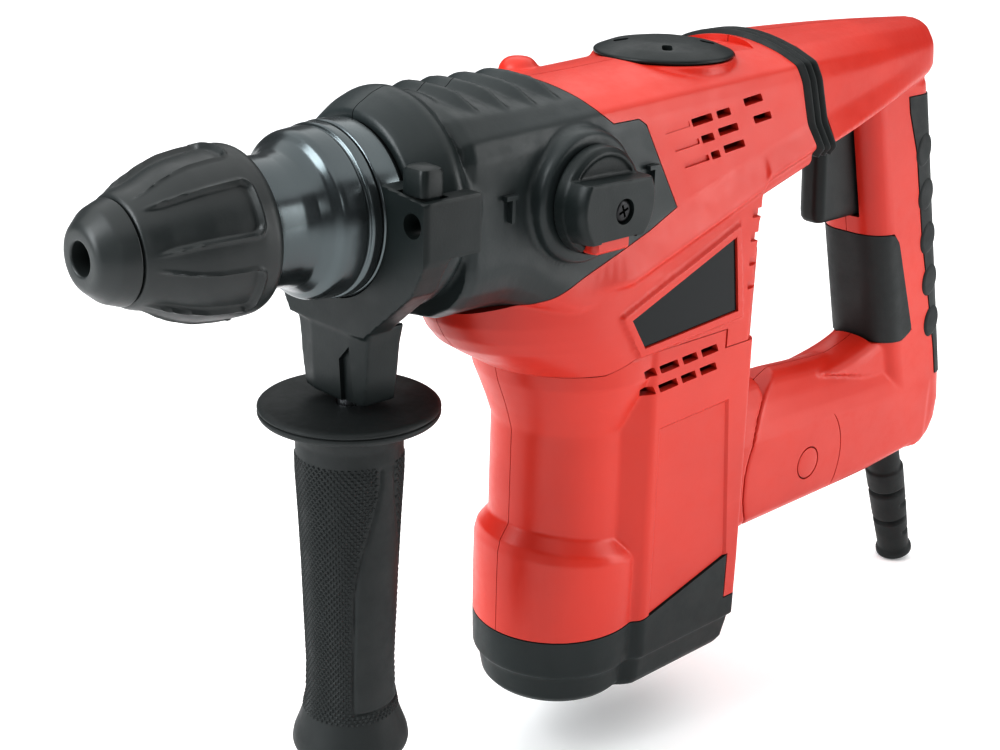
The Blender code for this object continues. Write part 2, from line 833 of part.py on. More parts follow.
def make_bellows():
    """The ribbed rubber bellows between the body and the head of the handle."""
    rings = [mirrored(body_section(x, floor=AXIS - 6)) for x in (80, 118)]
    bellows = loft("bellows", rings)
    make_visible(bellows, "black_rubber")
    front = rear_plane(GAP)
    back = rear_plane(BELLOWS + GAP)
    band = front[:2] + back[1::-1]
    common(bellows, slab("bellows_band", band, "Y", -80, 80))
    hollow = [mirrored(body_section(x, inset=WALL, floor=AXIS - 3)) for x in (70, 128)]
    cut(bellows, loft("bellows_hollow", hollow))
    return bellows


CORD_TILT = math.radians(-19.5)
CORD_AT = (226, 0, 38)


def cord_axis_piece(name, profile, material=None):
    """A turned piece on the slanted axis of the cord's strain relief."""
    obj = turned(name, profile, material, steps=24)
    obj.matrix_world = Matrix.Translation(Vector(CORD_AT) * MM) @ Matrix.Rotation(CORD_TILT, 4, "Y")
    return obj


def make_cord_boot():
    """Strain relief with an open end, whose collar sits inside the handle."""
    profile = [
        (10, 4.0),
        (10, 8.0),
        (-14, 8.0),
        (-14, 8.8),
        (-64, 7.0),
        (-66, 8.0),
        (-68, 8.0),
        (-68, 4.0),
    ]
    return cord_axis_piece("cord_boot", profile, "black_rubber")


def make_trigger():
    outline = [(144, 204), (145, 186), (148, 161), (186, 161), (186, 204)]
    return slab("trigger", outline, "Y", -6.5, 6.5, "black_plastic", bevel=1.2)


def make_handle_inside():
    switch = box("switch_body", (196.5, -9, 158), (209, 9, 194), "black_plastic")
    spring = coil("trigger_spring", (187.2, 0, 182), "X", 3.0, 0.6, 8.0, 4, "steel")
    return switch, spring


def make_pivot_pin():
    reach = ARM_HALF_W + 1.0
    flat = [
        (-reach, 0),
        (-reach, 6.5),
        (-ARM_HALF_W - GAP, 6.5),
        (-ARM_HALF_W - GAP, PIN_R),
        (ARM_HALF_W + GAP, PIN_R),
        (ARM_HALF_W + GAP, 6.5),
        (reach, 6.5),
        (reach, 0),
    ]
    return turned("pivot_pin", flat, "red_plastic", axis="Y", at=(PIVOT_X, 0, PIVOT_Z))


def make_handle_spring():
    z = AXIS + 15
    guide = turned(
        "damper_guide",
        [(50, 0), (50, 6), (56.4, 6), (56.4, 3.5), (92, 3.5), (92, 0)],
        "steel",
        axis="X",
        at=(0, 0, z),
    )
    spring = coil("damper_spring", (62.5, 0, z), "X", 6.0, 1.0, 34.0, 7, "steel")
    seat = turned(
        "damper_seat",
        [(98.5, 4.2), (98.5, 9), (101, 9), (101, 11), (103.5, 11), (103.5, 4.2)],
        "black_plastic",
        axis="X",
        at=(0, 0, z),
    )
    return guide, spring, seat


# ---------------------------------------------------------------- chuck, neck and side handle


def make_chuck():
    cap_profile = [
        (NOSE_X, BIT_R),
        (NOSE_X, 9.4),
        (NOSE_X + 1.5, 11.2),
        (SLEEVE_FRONT - 0.2, 16.0),
        (SLEEVE_FRONT - 0.2, BIT_R + 5),
        (SLEEVE_FRONT - 2, BIT_R),
    ]
    cap = turned("chuck_cap", cap_profile, "black_rubber", "X", (0, 0, AXIS), 40)
    r = SLEEVE_R
    skirt = NECK_R + 0.6
    sleeve_profile = [
        (SLEEVE_FRONT + 0.1, 11.0),
        (SLEEVE_FRONT + 0.1, 16.4),
        (SLEEVE_FRONT + 9, r - 5.2),
        (SLEEVE_FRONT + 20, r - 1.4),
        (SLEEVE_FRONT + 32, r),
        (SLEEVE_REAR, r - 0.5),
        (SLEEVE_REAR, skirt),
        (SLEEVE_REAR - SLEEVE_STROKE - 1, skirt),
        (SLEEVE_REAR - SLEEVE_STROKE - 2, SPINDLE_R + 0.7),
        (SLEEVE_FRONT + 14, SPINDLE_R + 0.7),
        (SLEEVE_FRONT + 10, 11.0),
    ]
    sleeve = turned("chuck_sleeve", sleeve_profile, "black_plastic", "X", (0, 0, AXIS), 40)
    front_r = 10.4
    spindle_profile = [
        (SLEEVE_FRONT, BIT_R),
        (SLEEVE_FRONT, front_r),
        (-160, front_r),
        (-160, SPINDLE_R - 1),
        (-147, SPINDLE_R),
        (SPINDLE_REAR, SPINDLE_R),
        (SPINDLE_REAR, CYLINDER_R),
        (-136, CYLINDER_R),
        (-138, BIT_R),
    ]
    spindle = turned("spindle", spindle_profile, "steel", "X", (0, 0, AXIS), 32)
    spring = coil("sleeve_spring", (-175, 0, AXIS), "X", 12.6, 0.8, 13.0, 4, "steel")
    return cap, sleeve, spindle, spring


def make_neck():
    profile = [
        (-148.7, SPINDLE_R + 3.2),
        (-148.7, NECK_R),
        (-132, NECK_R),
        (-124, NECK_R + 3.4),
        (-117.5, COLLAR_R),
        (-114.2, COLLAR_R + 0.4),
        (-114.2, CLAMP_R),
        (-88, CLAMP_R),
        (-88, SPINDLE_R + 3.2),
    ]
    return turned("spindle_neck", profile, "black_metal", "X", (0, 0, AXIS), 40)


def make_spindle_parts():
    z = AXIS
    inner, outer = SPINDLE_R + GAP, SPINDLE_R + 2.9
    front = tube("front_bearing", inner, outer, -146, -136, "steel", "X", (0, 0, z))
    rear = tube("rear_bearing", inner, outer, -100, -90, "steel", "X", (0, 0, z))
    teeth = gear_outline(BEVEL_R, 24, 2.2, (0, z))
    gear = slab("spindle_gear", teeth, "X", SPINDLE_REAR - 7, SPINDLE_REAR, "steel")
    bore = rod("spindle_gear_bore", inner, SPINDLE_REAR - 12, SPINDLE_REAR + 5, axis="X", at=(0, 0, z), steps=32)
    cut(gear, bore)
    slide_r = CYLINDER_R - SLIDE_FIT
    bolt_profile = [
        (-134, 0),
        (-134, 4.6),
        (-126, 4.6),
        (-124, slide_r),
        (-112, slide_r),
        (-112, 6),
        (-108, 6),
        (-108, 0),
    ]
    bolt = turned("impact_bolt", bolt_profile, "steel", "X", (0, 0, z), 24)
    ram_profile = [(-103, 0), (-103, 6), (-98, 6), (-98, slide_r), (-80, slide_r), (-80, 0)]
    ram = turned("striker", ram_profile, "steel", "X", (0, 0, z), 24)
    piston = turned(
        "piston",
        [(-60, 0), (-60, slide_r), (-34, slide_r), (-34, 7.5), (-44, 7.5), (-44, 0)],
        "steel",
        "X",
        (0, 0, z),
        24,
    )
    wrist_bore = rod("wrist_bore", 2.8, -20, 20, at=(-39, 0, z))
    cut(piston, wrist_bore)
    wrist = rod("wrist_pin", 2.5, z - slide_r + 2, z + slide_r - 2, "steel", at=(-39, 0, 0), steps=16)
    return front, rear, gear, bolt, ram, piston, wrist


def make_rod(z):
    """The connecting rod. Its big end runs just above the crank pin."""
    big = CRANK_X - CRANK_THROW
    outline = []
    for i in range(9):
        angle = math.radians(90 + 22.5 * i)
        outline.append((-39 + 5.0 * math.cos(angle), 5.0 * math.sin(angle)))
    for i in range(9):
        angle = math.radians(-90 + 22.5 * i)
        outline.append((big + 8.0 * math.cos(angle), 8.0 * math.sin(angle)))
    rod_piece = slab("connecting_rod", outline, "Z", z - 2.5, z + 2.5, "steel")
    cut(rod_piece, rod("rod_bore", 2.8, z - 20, z + 20, at=(-39, 0, 0), steps=16))
    return rod_piece


def make_side_handle():
    saddle_outline = [
        (29, -24),
        (21, -39.5),
        (-17, -39.5),
        (-40, -20),
        (-46.5, -8),
        (-46.5, 11),
        (-24, 13.5),
        (-24, 0),
        (29, 0),
    ]
    outline = [(y, z + AXIS) for y, z in saddle_outline]
    saddle = slab("clamp_saddle", outline, "X", CLAMP_FRONT, -90)
    make_visible(saddle, "black_plastic")
    stem_rings = []
    for z, a, b in ((FLANGE_Z + 3.2, 12, 13), (AXIS - 48, 12.5, 14.5), (AXIS - 37, 13.5, 17)):
        square = [(-a, -b * 0.6), (-a * 0.6, -b), (a * 0.6, -b), (a, -b * 0.6)]
        ring = square + [(-x, -y) for x, y in square]
        stem_rings.append([(HANDLE_X + max(x, CLAMP_FRONT + 0.6 - HANDLE_X), y, z) for x, y in ring])
    stem = loft("clamp_stem", stem_rings)
    seat = rod("clamp_seat", CLAMP_R + BAND_THICK + GAP, -130, -80, axis="X", at=(0, 0, AXIS), steps=38)
    clearance = rod("case_clearance", 41.0, -104.4, -60, axis="X", at=(0, 0, AXIS), steps=40)
    bolt_bore = rod("clamp_bolt_bore", BOLT_R + GAP, 100, AXIS - 25, at=(HANDLE_X, 0, 0))
    stop_bore = rod("depth_stop_bore", 4.1, -130, -60, axis="X", at=(0, STOP_Y, AXIS + STOP_Z), steps=20)
    button_pocket = box("button_pocket", (-112.0, -43.8, AXIS + 8.3), (-101.8, -32.2, AXIS + 40))
    join(saddle, stem)
    cut(saddle, seat, clearance, bolt_bore, stop_bore, button_pocket)
    low, high = CLAMP_R + GAP, CLAMP_R + BAND_THICK
    band = tube("clamp_band", low, high, -113.9, -104.6, "black_metal", "X", (0, 0, AXIS), 40)
    button = box("depth_stop_button", (-111.6, -43.4, AXIS + 11.5), (-102.2, -32.6, AXIS + 20.5), "black_plastic", 1.0)
    return saddle, band, button


def make_side_grip():
    top, bottom = FLANGE_Z, GRIP_BOTTOM
    profile = [
        (bottom, 0),
        (bottom, 19.0),
        (bottom + 2, 20.3),
        (bottom + 7, 20.5),
        (bottom + 11, 18.6),
        (bottom + 18, 15.9),
        (bottom + 23, 15.2),
        (bottom + 45, 15.8),
        (bottom + 74, 16.6),
        (bottom + 92, 17.4),
        (top - 25, 18.2),
        (top - 8, 18.4),
        (top - 4, 20.5),
        (top - 2.4, FLANGE_R - 0.6),
        (top - 1.2, FLANGE_R),
        (top + 1.2, FLANGE_R),
        (top + 2.4, FLANGE_R - 1.0),
        (top + 2.4, BOLT_R + GAP),
        (bottom + 20, BOLT_R + GAP),
        (bottom + 20, 0),
    ]
    grip = turned("side_grip", profile, "black_rubber", at=(HANDLE_X, 0, 0), steps=40)
    bolt = rod("handle_bolt", BOLT_R, bottom + 21, AXIS - 35.5, "steel", at=(HANDLE_X, 0, 0), steps=20)
    return grip, bolt


# ---------------------------------------------------------------- mode dial


def make_mode_knob():
    at = (DIAL_X, 0, DIAL_Z)
    face = -DIAL_FACE - GAP
    profile = [(face - 6, 0), (face - 6, KNOB_R - 1), (face - 5, KNOB_R), (face, KNOB_R), (face, 5), (-30, 5), (-30, 0)]
    knob = turned("mode_knob", profile, "black_plastic", "Y", at, 40)
    paddle = box("knob_paddle", (DIAL_X - 30, face - 14, DIAL_Z - 10), (DIAL_X + 30, face - 3, DIAL_Z + 8))
    round_off = rod("paddle_round", KNOB_R - 1.3, -80, -20, axis="Y", at=at, steps=40)
    common(paddle, round_off)
    join(knob, paddle)
    screw_hole = rod("knob_screw_hole", 4.4, face - 30, face - 11, axis="Y", at=at)
    screw_bore = rod("knob_screw_bore", 2.2, face - 20, face - 2, axis="Y", at=at, steps=12)
    pocket = box("knob_pocket", (DIAL_X - 8.3, face - 20, DIAL_Z - 16.3), (DIAL_X + 8.3, face - 2.5, DIAL_Z - 10.8))
    cut(knob, screw_hole, screw_bore, pocket)
    screw_profile = [
        (face - 13.2, 0),
        (face - 13.2, 3.4),
        (face - 12.6, 4.1),
        (face - 11.3, 4.1),
        (face - 11.3, 1.9),
        (face - 2.4, 1.9),
        (face - 2.4, 0),
    ]
    screw = turned("knob_screw", screw_profile, "black_metal", "Y", at, 20)
    button = box("knob_lock_button", (DIAL_X - 8, face - 11, DIAL_Z - 16), (DIAL_X + 8, face - 5, DIAL_Z - 11.1), "red_plastic", 0.6)
    return knob, screw, button


# ---------------------------------------------------------------- motor and gears


def make_motor():
    top = GEAR_Z + 8
    shaft_profile = [
        (9, 0),
        (9, SHAFT_R),
        (SPLIT - 1, SHAFT_R),
        (SPLIT - 1, 4.6),
        (GEAR_Z - 7, 4.6),
        (GEAR_Z - 7, 3.2),
        (top, 3.2),
        (top, 0),
    ]
    shaft = turned("armature_shaft", shaft_profile, "steel", steps=20)
    pinion_teeth = gear_outline(PINION_R, 9, 1.4, (0, 0))
    pinion = slab("motor_pinion", pinion_teeth, "Z", GEAR_Z - 6.5, GEAR_Z + 6.5, "steel")
    cut(pinion, rod("pinion_bore", 3.2 + GAP, GEAR_Z - 10, GEAR_Z + 10, steps=20))
    bore = SHAFT_R + GAP
    core_outline = gear_outline(CORE_R, 12, 2.5, (0, 0))
    core = slab("armature_core", core_outline, "Z", 56, SPLIT - 38, "laminated_steel")
    cut(core, rod("core_bore", bore, 40, SPLIT - 20, steps=20))
    commutator = tube("commutator", bore, 11.5, 30, 46, "copper", steps=24)
    fan = make_fan(bore)
    lower = tube("lower_bearing", bore, 9.5, 12, 19, "steel", steps=24)
    upper = tube("upper_bearing", bore, 11.0, SPLIT - 12, SPLIT - 4, "steel", steps=24)
    stator = tube("stator", STATOR_IN, STATOR_OUT, 52, SPLIT - 34, "laminated_steel", steps=40)
    return shaft, pinion, core, commutator, fan, lower, upper, stator


def make_fan(bore):
    """The cooling fan: a disc with upright blades."""
    low = SPLIT - 28
    blades = gear_outline(22.0, 14, 12.0, (0, 0))
    fan = slab("cooling_fan", blades, "Z", low + 1, low + 9)
    make_visible(fan, "black_plastic")
    join(fan, rod("fan_disc", 22.5, low, low + 2, steps=36))
    cut(fan, rod("fan_bore", bore, low - 5, low + 20, steps=20))
    return fan


def make_brushes():
    pieces = []
    for name, sign in (("front", -1), ("rear", 1)):
        near, far = 12.6, 27.0
        xs = sorted((sign * near, sign * far))
        holder = box("brush_holder_" + name, (xs[0], -5, 33), (xs[1], 5, 43), "brass")
        xs_cut = sorted((sign * (near - 3), sign * (far - 3)))
        cut(holder, box("brush_slot_" + name, (xs_cut[0], -3.3, 35), (xs_cut[1], 3.3, 41)))
        xs_brush = sorted((sign * 11.9, sign * 20.0))
        brush = box("carbon_brush_" + name, (xs_brush[0], -3, 35.3), (xs_brush[1], 3, 40.7), "carbon")
        pieces += [holder, brush]
    return pieces


def make_gears(rod_z):
    outline = gear_outline(CRANK_R, 44, 1.6, (CRANK_X, 0))
    crank = slab("crank_gear", outline, "Z", GEAR_Z - 4, GEAR_Z + 4, "steel")
    pin_at = (CRANK_X - CRANK_THROW, 0, 0)
    web = rod("crank_web", 15, GEAR_Z + 2, GEAR_Z + 16, at=(CRANK_X, 0, 0), steps=32)
    pin = rod("crank_pin", 5, GEAR_Z + 10, rod_z - 2.5 - GAP, at=pin_at, steps=20)
    stub = rod("crank_stub", 6, GEAR_Z - 14, GEAR_Z, at=(CRANK_X, 0, 0), steps=20)
    join(crank, web, pin, stub)
    bearing = tube("crank_bearing", 6 + GAP, 11, GEAR_Z - 14, GEAR_Z - 6, "steel", at=(CRANK_X, 0, 0), steps=24)
    idler = slab("idler_gear", gear_outline(IDLER_R, 33, 1.6, (IDLER_X, 0)), "Z", GEAR_Z - 4, GEAR_Z + 4, "steel")
    idler_pin = rod("idler_pinion", 7.0, GEAR_Z + 2, GEAR_Z + 12, at=(IDLER_X, 0, 0), steps=24)
    idler_stub = rod("idler_stub", 5, GEAR_Z - 12, GEAR_Z, at=(IDLER_X, 0, 0), steps=20)
    join(idler, idler_pin, idler_stub)
    return crank, bearing, idler


# ---------------------------------------------------------------- assembly


def build():
    rod_z = AXIS
    make_gear_case()
    make_upper_housing()
    make_label()
    make_motor_housing()
    make_boot()
    make_service_cap()
    make_neck()
    cap, sleeve, spindle, spring = make_chuck()
    front, rear, gear, bolt, ram, piston, wrist = make_spindle_parts()
    hinge("spindle_axis", (SPINDLE_REAR, 0, AXIS), [cap, spindle, spring, gear])
    hinge("chuck_sleeve_axis", (SLEEVE_FRONT, 0, AXIS), [sleeve])
    hinge("impact_bolt_axis", (-120, 0, AXIS), [bolt])
    hinge("striker_axis", (-90, 0, AXIS), [ram])
    hinge("piston_axis", (-39, 0, AXIS), [piston, wrist])
    hinge("rod_axis", (-39, 0, AXIS), [make_rod(rod_z)])
    saddle, band, button = make_side_handle()
    hinge("side_handle_axis", (HANDLE_X, 0, AXIS), [saddle, band])
    hinge("stop_button_axis", (-104.5, STOP_Y, AXIS + 16), [button])
    grip, grip_bolt = make_side_grip()
    hinge("side_grip_axis", (HANDLE_X, 0, GRIP_BOTTOM), [grip, grip_bolt])
    knob, screw, lock = make_mode_knob()
    hinge("mode_knob_axis", (DIAL_X, -DIAL_FACE, DIAL_Z), [knob, screw])
    hinge("knob_lock_axis", (DIAL_X, -DIAL_FACE - 6, DIAL_Z - 13.5), [lock])
    shaft, pinion, core, commutator, fan, lower, upper, stator = make_motor()
    hinge("motor_axis", (0, 0, 0), [shaft, pinion, core, commutator, fan])
    make_brushes()
    crank, bearing, idler = make_gears(rod_z)
    hinge("crank_axis", (CRANK_X, 0, GEAR_Z), [crank])
    hinge("idler_axis", (IDLER_X, 0, GEAR_Z), [idler])
    shells = make_rear_handle()
    skins = make_grip_skins()
    switch, trigger_spring = make_handle_inside()
    boot = make_cord_boot()
    guide, damper, seat = make_handle_spring()
    handle_pieces = shells + skins + [switch, trigger_spring, boot, seat]
    hinge("rear_handle_axis", (PIVOT_X, 0, PIVOT_Z), handle_pieces)
    hinge("trigger_axis", (165, 0, 182), [make_trigger()])
    make_pivot_pin()
    make_bellows()


build()
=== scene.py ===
"""Looks for a rotary hammer: moulded shells, soft grips, chuck, dial and studio, built round its CAD."""

import json
import math

import bmesh
import bpy
import numpy as np
from mathutils import Matrix, Vector

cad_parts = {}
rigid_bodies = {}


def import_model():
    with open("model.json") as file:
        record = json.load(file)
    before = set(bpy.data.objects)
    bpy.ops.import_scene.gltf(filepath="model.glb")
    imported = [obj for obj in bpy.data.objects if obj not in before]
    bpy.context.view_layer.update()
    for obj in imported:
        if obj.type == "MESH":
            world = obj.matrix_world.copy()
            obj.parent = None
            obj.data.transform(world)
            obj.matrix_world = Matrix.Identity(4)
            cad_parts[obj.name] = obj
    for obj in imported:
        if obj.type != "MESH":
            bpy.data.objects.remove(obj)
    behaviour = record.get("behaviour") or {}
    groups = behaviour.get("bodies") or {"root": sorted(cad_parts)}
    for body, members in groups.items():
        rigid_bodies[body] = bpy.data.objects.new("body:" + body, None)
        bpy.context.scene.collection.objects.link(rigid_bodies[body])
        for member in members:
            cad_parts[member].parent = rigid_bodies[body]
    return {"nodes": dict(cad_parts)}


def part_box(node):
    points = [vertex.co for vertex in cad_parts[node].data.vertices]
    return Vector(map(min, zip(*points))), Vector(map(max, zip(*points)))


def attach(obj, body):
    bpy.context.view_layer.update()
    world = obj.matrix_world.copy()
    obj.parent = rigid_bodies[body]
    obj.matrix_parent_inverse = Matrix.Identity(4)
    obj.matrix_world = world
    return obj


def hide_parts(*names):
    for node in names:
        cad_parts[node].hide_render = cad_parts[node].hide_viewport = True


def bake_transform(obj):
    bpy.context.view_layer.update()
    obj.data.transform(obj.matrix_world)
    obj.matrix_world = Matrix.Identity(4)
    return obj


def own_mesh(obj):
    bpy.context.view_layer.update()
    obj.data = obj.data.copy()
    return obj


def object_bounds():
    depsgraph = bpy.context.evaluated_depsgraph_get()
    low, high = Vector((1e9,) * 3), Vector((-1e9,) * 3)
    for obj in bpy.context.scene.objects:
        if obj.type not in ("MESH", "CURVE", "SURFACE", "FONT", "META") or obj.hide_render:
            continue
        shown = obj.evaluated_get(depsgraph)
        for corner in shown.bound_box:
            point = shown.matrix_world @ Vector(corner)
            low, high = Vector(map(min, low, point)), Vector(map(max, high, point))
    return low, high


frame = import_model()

bl_info = {
    "name": "Rotary hammer looks",
    "version": (1, 0, 0),
    "blender": (4, 5, 0),
    "location": "View3D > Sidebar > Hammer",
    "description": "Builds the shells, grips, chuck, dial and studio of a rotary hammer",
    "category": "Object",
}

MM = 0.001
CAD_BOX = [list(corner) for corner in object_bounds()]
_low, _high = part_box("spindle")
AXIS = round((_low[2] + _high[2]) / 2 / MM, 2)  # height of the tool axis in mm
_low, _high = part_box("side_grip")
HANDLE_X = round((_low[0] + _high[0]) / 2 / MM, 2)
NOSE = round(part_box("chuck_cap")[0][0] / MM, 2)
HALF_W = 35.5
SEAM = 0.25  # half the width of the joint between two shells
WALL = 3.2  # of a moulded shell
WAIST = 27.8  # radius of the motor housing's waist
PIVOT = (140.0, 57.0)  # x and z of the rear handle's pivot
ON_AXIS = (0, 0, AXIS)
ON_PIVOT = (PIVOT[0], 0, PIVOT[1])
CAP_X = 46.0  # middle of the vent cap
STOP_Y = -40.5  # depth-stop hole
METAL_LINES = 0.01  # depth of the lines on bare metal

BENCH = bpy.data.collections.new("bench")
LOOKS = bpy.data.collections.new("looks")
for _c in (BENCH, LOOKS):
    bpy.context.scene.collection.children.link(_c)


# ---------------------------------------------------------------- outlines


def area_of(points):
    return 0.5 * sum(a[0] * b[1] - b[0] * a[1] for a, b in zip(points, points[1:] + points[:1]))


def widened(points, distance):
    """The outline moved outwards, with sharp corners kept."""
    if area_of(points) < 0:
        points = points[::-1]
    moved = []
    for i, point in enumerate(points):
        here = Vector(point)
        before = (here - Vector(points[i - 1])).normalized()
        after = (Vector(points[(i + 1) % len(points)]) - here).normalized()
        out_a, out_b = Vector((before.y, -before.x)), Vector((after.y, -after.x))
        moved.append(tuple(here + (out_a + out_b) / max(1 + out_a.dot(out_b), 0.3) * distance))
    return moved


def eased(points, radius=1.5, steps=3, closed=False):
    """A polyline with each corner rounded. The number of points depends only on how many went in."""
    done = []
    last = len(points) - 1
    for i, point in enumerate(points):
        if not closed and i in (0, last):
            done.append(tuple(point))
            continue
        here, before, after = Vector(point), Vector(points[i - 1]), Vector(
            points[(i + 1) % len(points)]
        )
        a, b = before - here, after - here
        start = here + a * min(radius / max(a.length, 1e-6), 0.45)
        end = here + b * min(radius / max(b.length, 1e-6), 0.45)
        for k in range(steps + 1):
            t = k / steps
            done.append(tuple(start * (1 - t) ** 2 + here * 2 * t * (1 - t) + end * t**2))
    return done


def split_long(points, longest, closed=True):
    """The polyline with extra points, so that no stretch is longer than this."""
    done = []
    ends = points[1:] + points[:1] if closed else points[1:]
    for a, b in zip(points, ends):
        count = max(1, math.ceil(math.dist(a, b) / longest))
        done += [tuple(Vector(a).lerp(Vector(b), k / count)) for k in range(count)]
    return done if closed else done + [points[-1]]


def step01(value):
    value = min(1.0, max(0.0, value))
    return value * value * (3 - 2 * value)


def mix(a, b, share):
    return a + (b - a) * share


# ---------------------------------------------------------------- solids


def solid(name, verts, faces):
    mesh = bpy.data.meshes.new(name)
    mesh.from_pydata([(x * MM, y * MM, z * MM) for x, y, z in verts], [], faces)
    shape = bmesh.new()
    shape.from_mesh(mesh)
    bmesh.ops.remove_doubles(shape, verts=shape.verts, dist=1e-7)
    bmesh.ops.recalc_face_normals(shape, faces=shape.faces)
    shape.to_mesh(mesh)
    shape.free()
    obj = bpy.data.objects.new(name, mesh)
    BENCH.objects.link(obj)
    return obj


def loft(rings, name="loft"):
    """A closed body through rings of equally many (x, y, z) points."""
    n = len(rings[0])
    verts = [p for ring in rings for p in ring]
    faces = [tuple(range(n)), tuple(range(len(verts) - n, len(verts)))]
    for k in range(len(rings) - 1):
        for i in range(n):
            j = (i + 1) % n
            a, b, c, d = k * n + i, k * n + j, (k + 1) * n + j, (k + 1) * n + i
            faces += [(a, b, c), (a, c, d)]
    return solid(name, verts, faces)


def slab(outline, axis, low, high, name="slab"):
    """A flat outline with thickness: (y, z) across X, (x, z) across Y and (x, y) across Z."""
    order = {
        "X": lambda a, b, c: (c, a, b),
        "Y": lambda a, b, c: (a, c, b),
        "Z": lambda a, b, c: (a, b, c),
    }[axis]
    return loft([[order(a, b, c) for a, b in outline] for c in (low, high)], name)


def block(low, high):
    return slab(
        [(low[0], low[1]), (high[0], low[1]), (high[0], high[1]), (low[0], high[1])],
        "Z",
        low[2],
        high[2],
    )


def spun(profile, axis="Z", at=(0, 0, 0), steps=96, relief=None, name="spun"):
    """A turned body. The profile lists (along, radius). Relief(along, angles, radius) adds to the radius."""
    verts, rows = [], []
    angles = np.arange(steps) * 2 * math.pi / steps
    cos, sin = np.cos(angles), np.sin(angles)
    for along, radius in profile:
        if radius < 1e-6:
            rows.append([len(verts)] * steps)
            ring = [(0.0, 0.0, along)]
        else:
            r = radius + (relief(along, angles, radius) if relief else 0 * angles)
            rows.append(list(range(len(verts), len(verts) + steps)))
            ring = list(zip(r * cos, r * sin, [along] * steps))
        verts += ring
    faces = []
    for lower, upper in zip(rows, rows[1:] + rows[:1]):
        if lower[0] == lower[1] and upper[0] == upper[1]:
            continue
        for i in range(steps):
            j = (i + 1) % steps
            face = list(dict.fromkeys((lower[i], lower[j], upper[j], upper[i])))
            if len(face) > 2:
                faces.append(tuple(face))
    turn = {
        "Z": lambda x, y, z: (x, y, z),
        "X": lambda x, y, z: (z, x, y),
        "Y": lambda x, y, z: (y, z, x),
    }[axis]
    placed = [tuple(a + b for a, b in zip(turn(float(x), float(y), float(z)), at)) for x, y, z in verts]
    return solid(name, placed, faces)


def rod(radius, low, high, axis="Z", at=(0, 0, 0), steps=64):
    return spun([(low, 0), (low, radius), (high, radius), (high, 0)], axis, at, steps)


def discard(obj):
    mesh = obj.data
    bpy.data.objects.remove(obj)
    bpy.data.meshes.remove(mesh)


def settled(obj):
    """Turns the object's modifiers into its mesh."""
    bpy.context.view_layer.update()
    graph = bpy.context.evaluated_depsgraph_get()
    mesh = bpy.data.meshes.new_from_object(obj.evaluated_get(graph))
    old = obj.data
    obj.modifiers.clear()
    obj.data = mesh
    bpy.data.meshes.remove(old)
    return obj


def carve(obj, *tools, operation="DIFFERENCE", solver="MANIFOLD"):
    """Cuts each tool from the solid, or keeps what they share."""
    for tool in tools:
        before = obj.data.copy()
        step = obj.modifiers.new("carve", "BOOLEAN")
        step.operation = operation
        step.object = tool
        step.solver = solver
        settled(obj)
        if not obj.data.polygons:
            obj.data = before
            step = obj.modifiers.new("carve", "BOOLEAN")
            step.operation = operation
            step.object = tool
            step.solver = "EXACT"
            settled(obj)
        discard(tool)
    if not obj.data.polygons:
        raise RuntimeError(obj.name + " was cut away")
    return obj


def keep(obj, *tools):
    return carve(obj, *tools, operation="INTERSECT")


def weld(name, solids, voxel=0.9, rounds=5):
    """Solids run together as one moulding, with a small fillet where they meet."""
    shape = bmesh.new()
    for item in solids:
        shape.from_mesh(item.data)
        discard(item)
    mesh = bpy.data.meshes.new(name)
    shape.to_mesh(mesh)
    shape.free()
    obj = bpy.data.objects.new(name, mesh)
    BENCH.objects.link(obj)
    skin = obj.modifiers.new("skin", "REMESH")
    skin.mode = "VOXEL"
    skin.voxel_size = voxel * MM
    ease = obj.modifiers.new("ease", "SMOOTH")
    ease.factor = 0.5
    ease.iterations = rounds
    return settled(obj)


def twin(obj, name):
    other = bpy.data.objects.new(name, obj.data.copy())
    BENCH.objects.link(other)
    return other


def shown(obj, name, body, finish, nodes=(), crisp=32):
    """Hands a finished solid over as a visible piece."""
    obj.name = obj.data.name = name
    if BENCH.objects.get(obj.name):
        BENCH.objects.unlink(obj)
        LOOKS.objects.link(obj)
    obj.data.materials.clear()
    obj.data.materials.append(material(finish))
    for face in obj.data.polygons:
        face.use_smooth = True
        face.material_index = 0
    obj.data.set_sharp_from_angle(angle=math.radians(crisp))
    if nodes:
        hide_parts(*nodes)
    if body:
        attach(obj, body)
    return obj


# ---------------------------------------------------------------- geometry nodes


def socket_id(tree, name):
    return next(
        i.identifier for i in tree.interface.items_tree if i.name == name and i.in_out == "INPUT"
    )


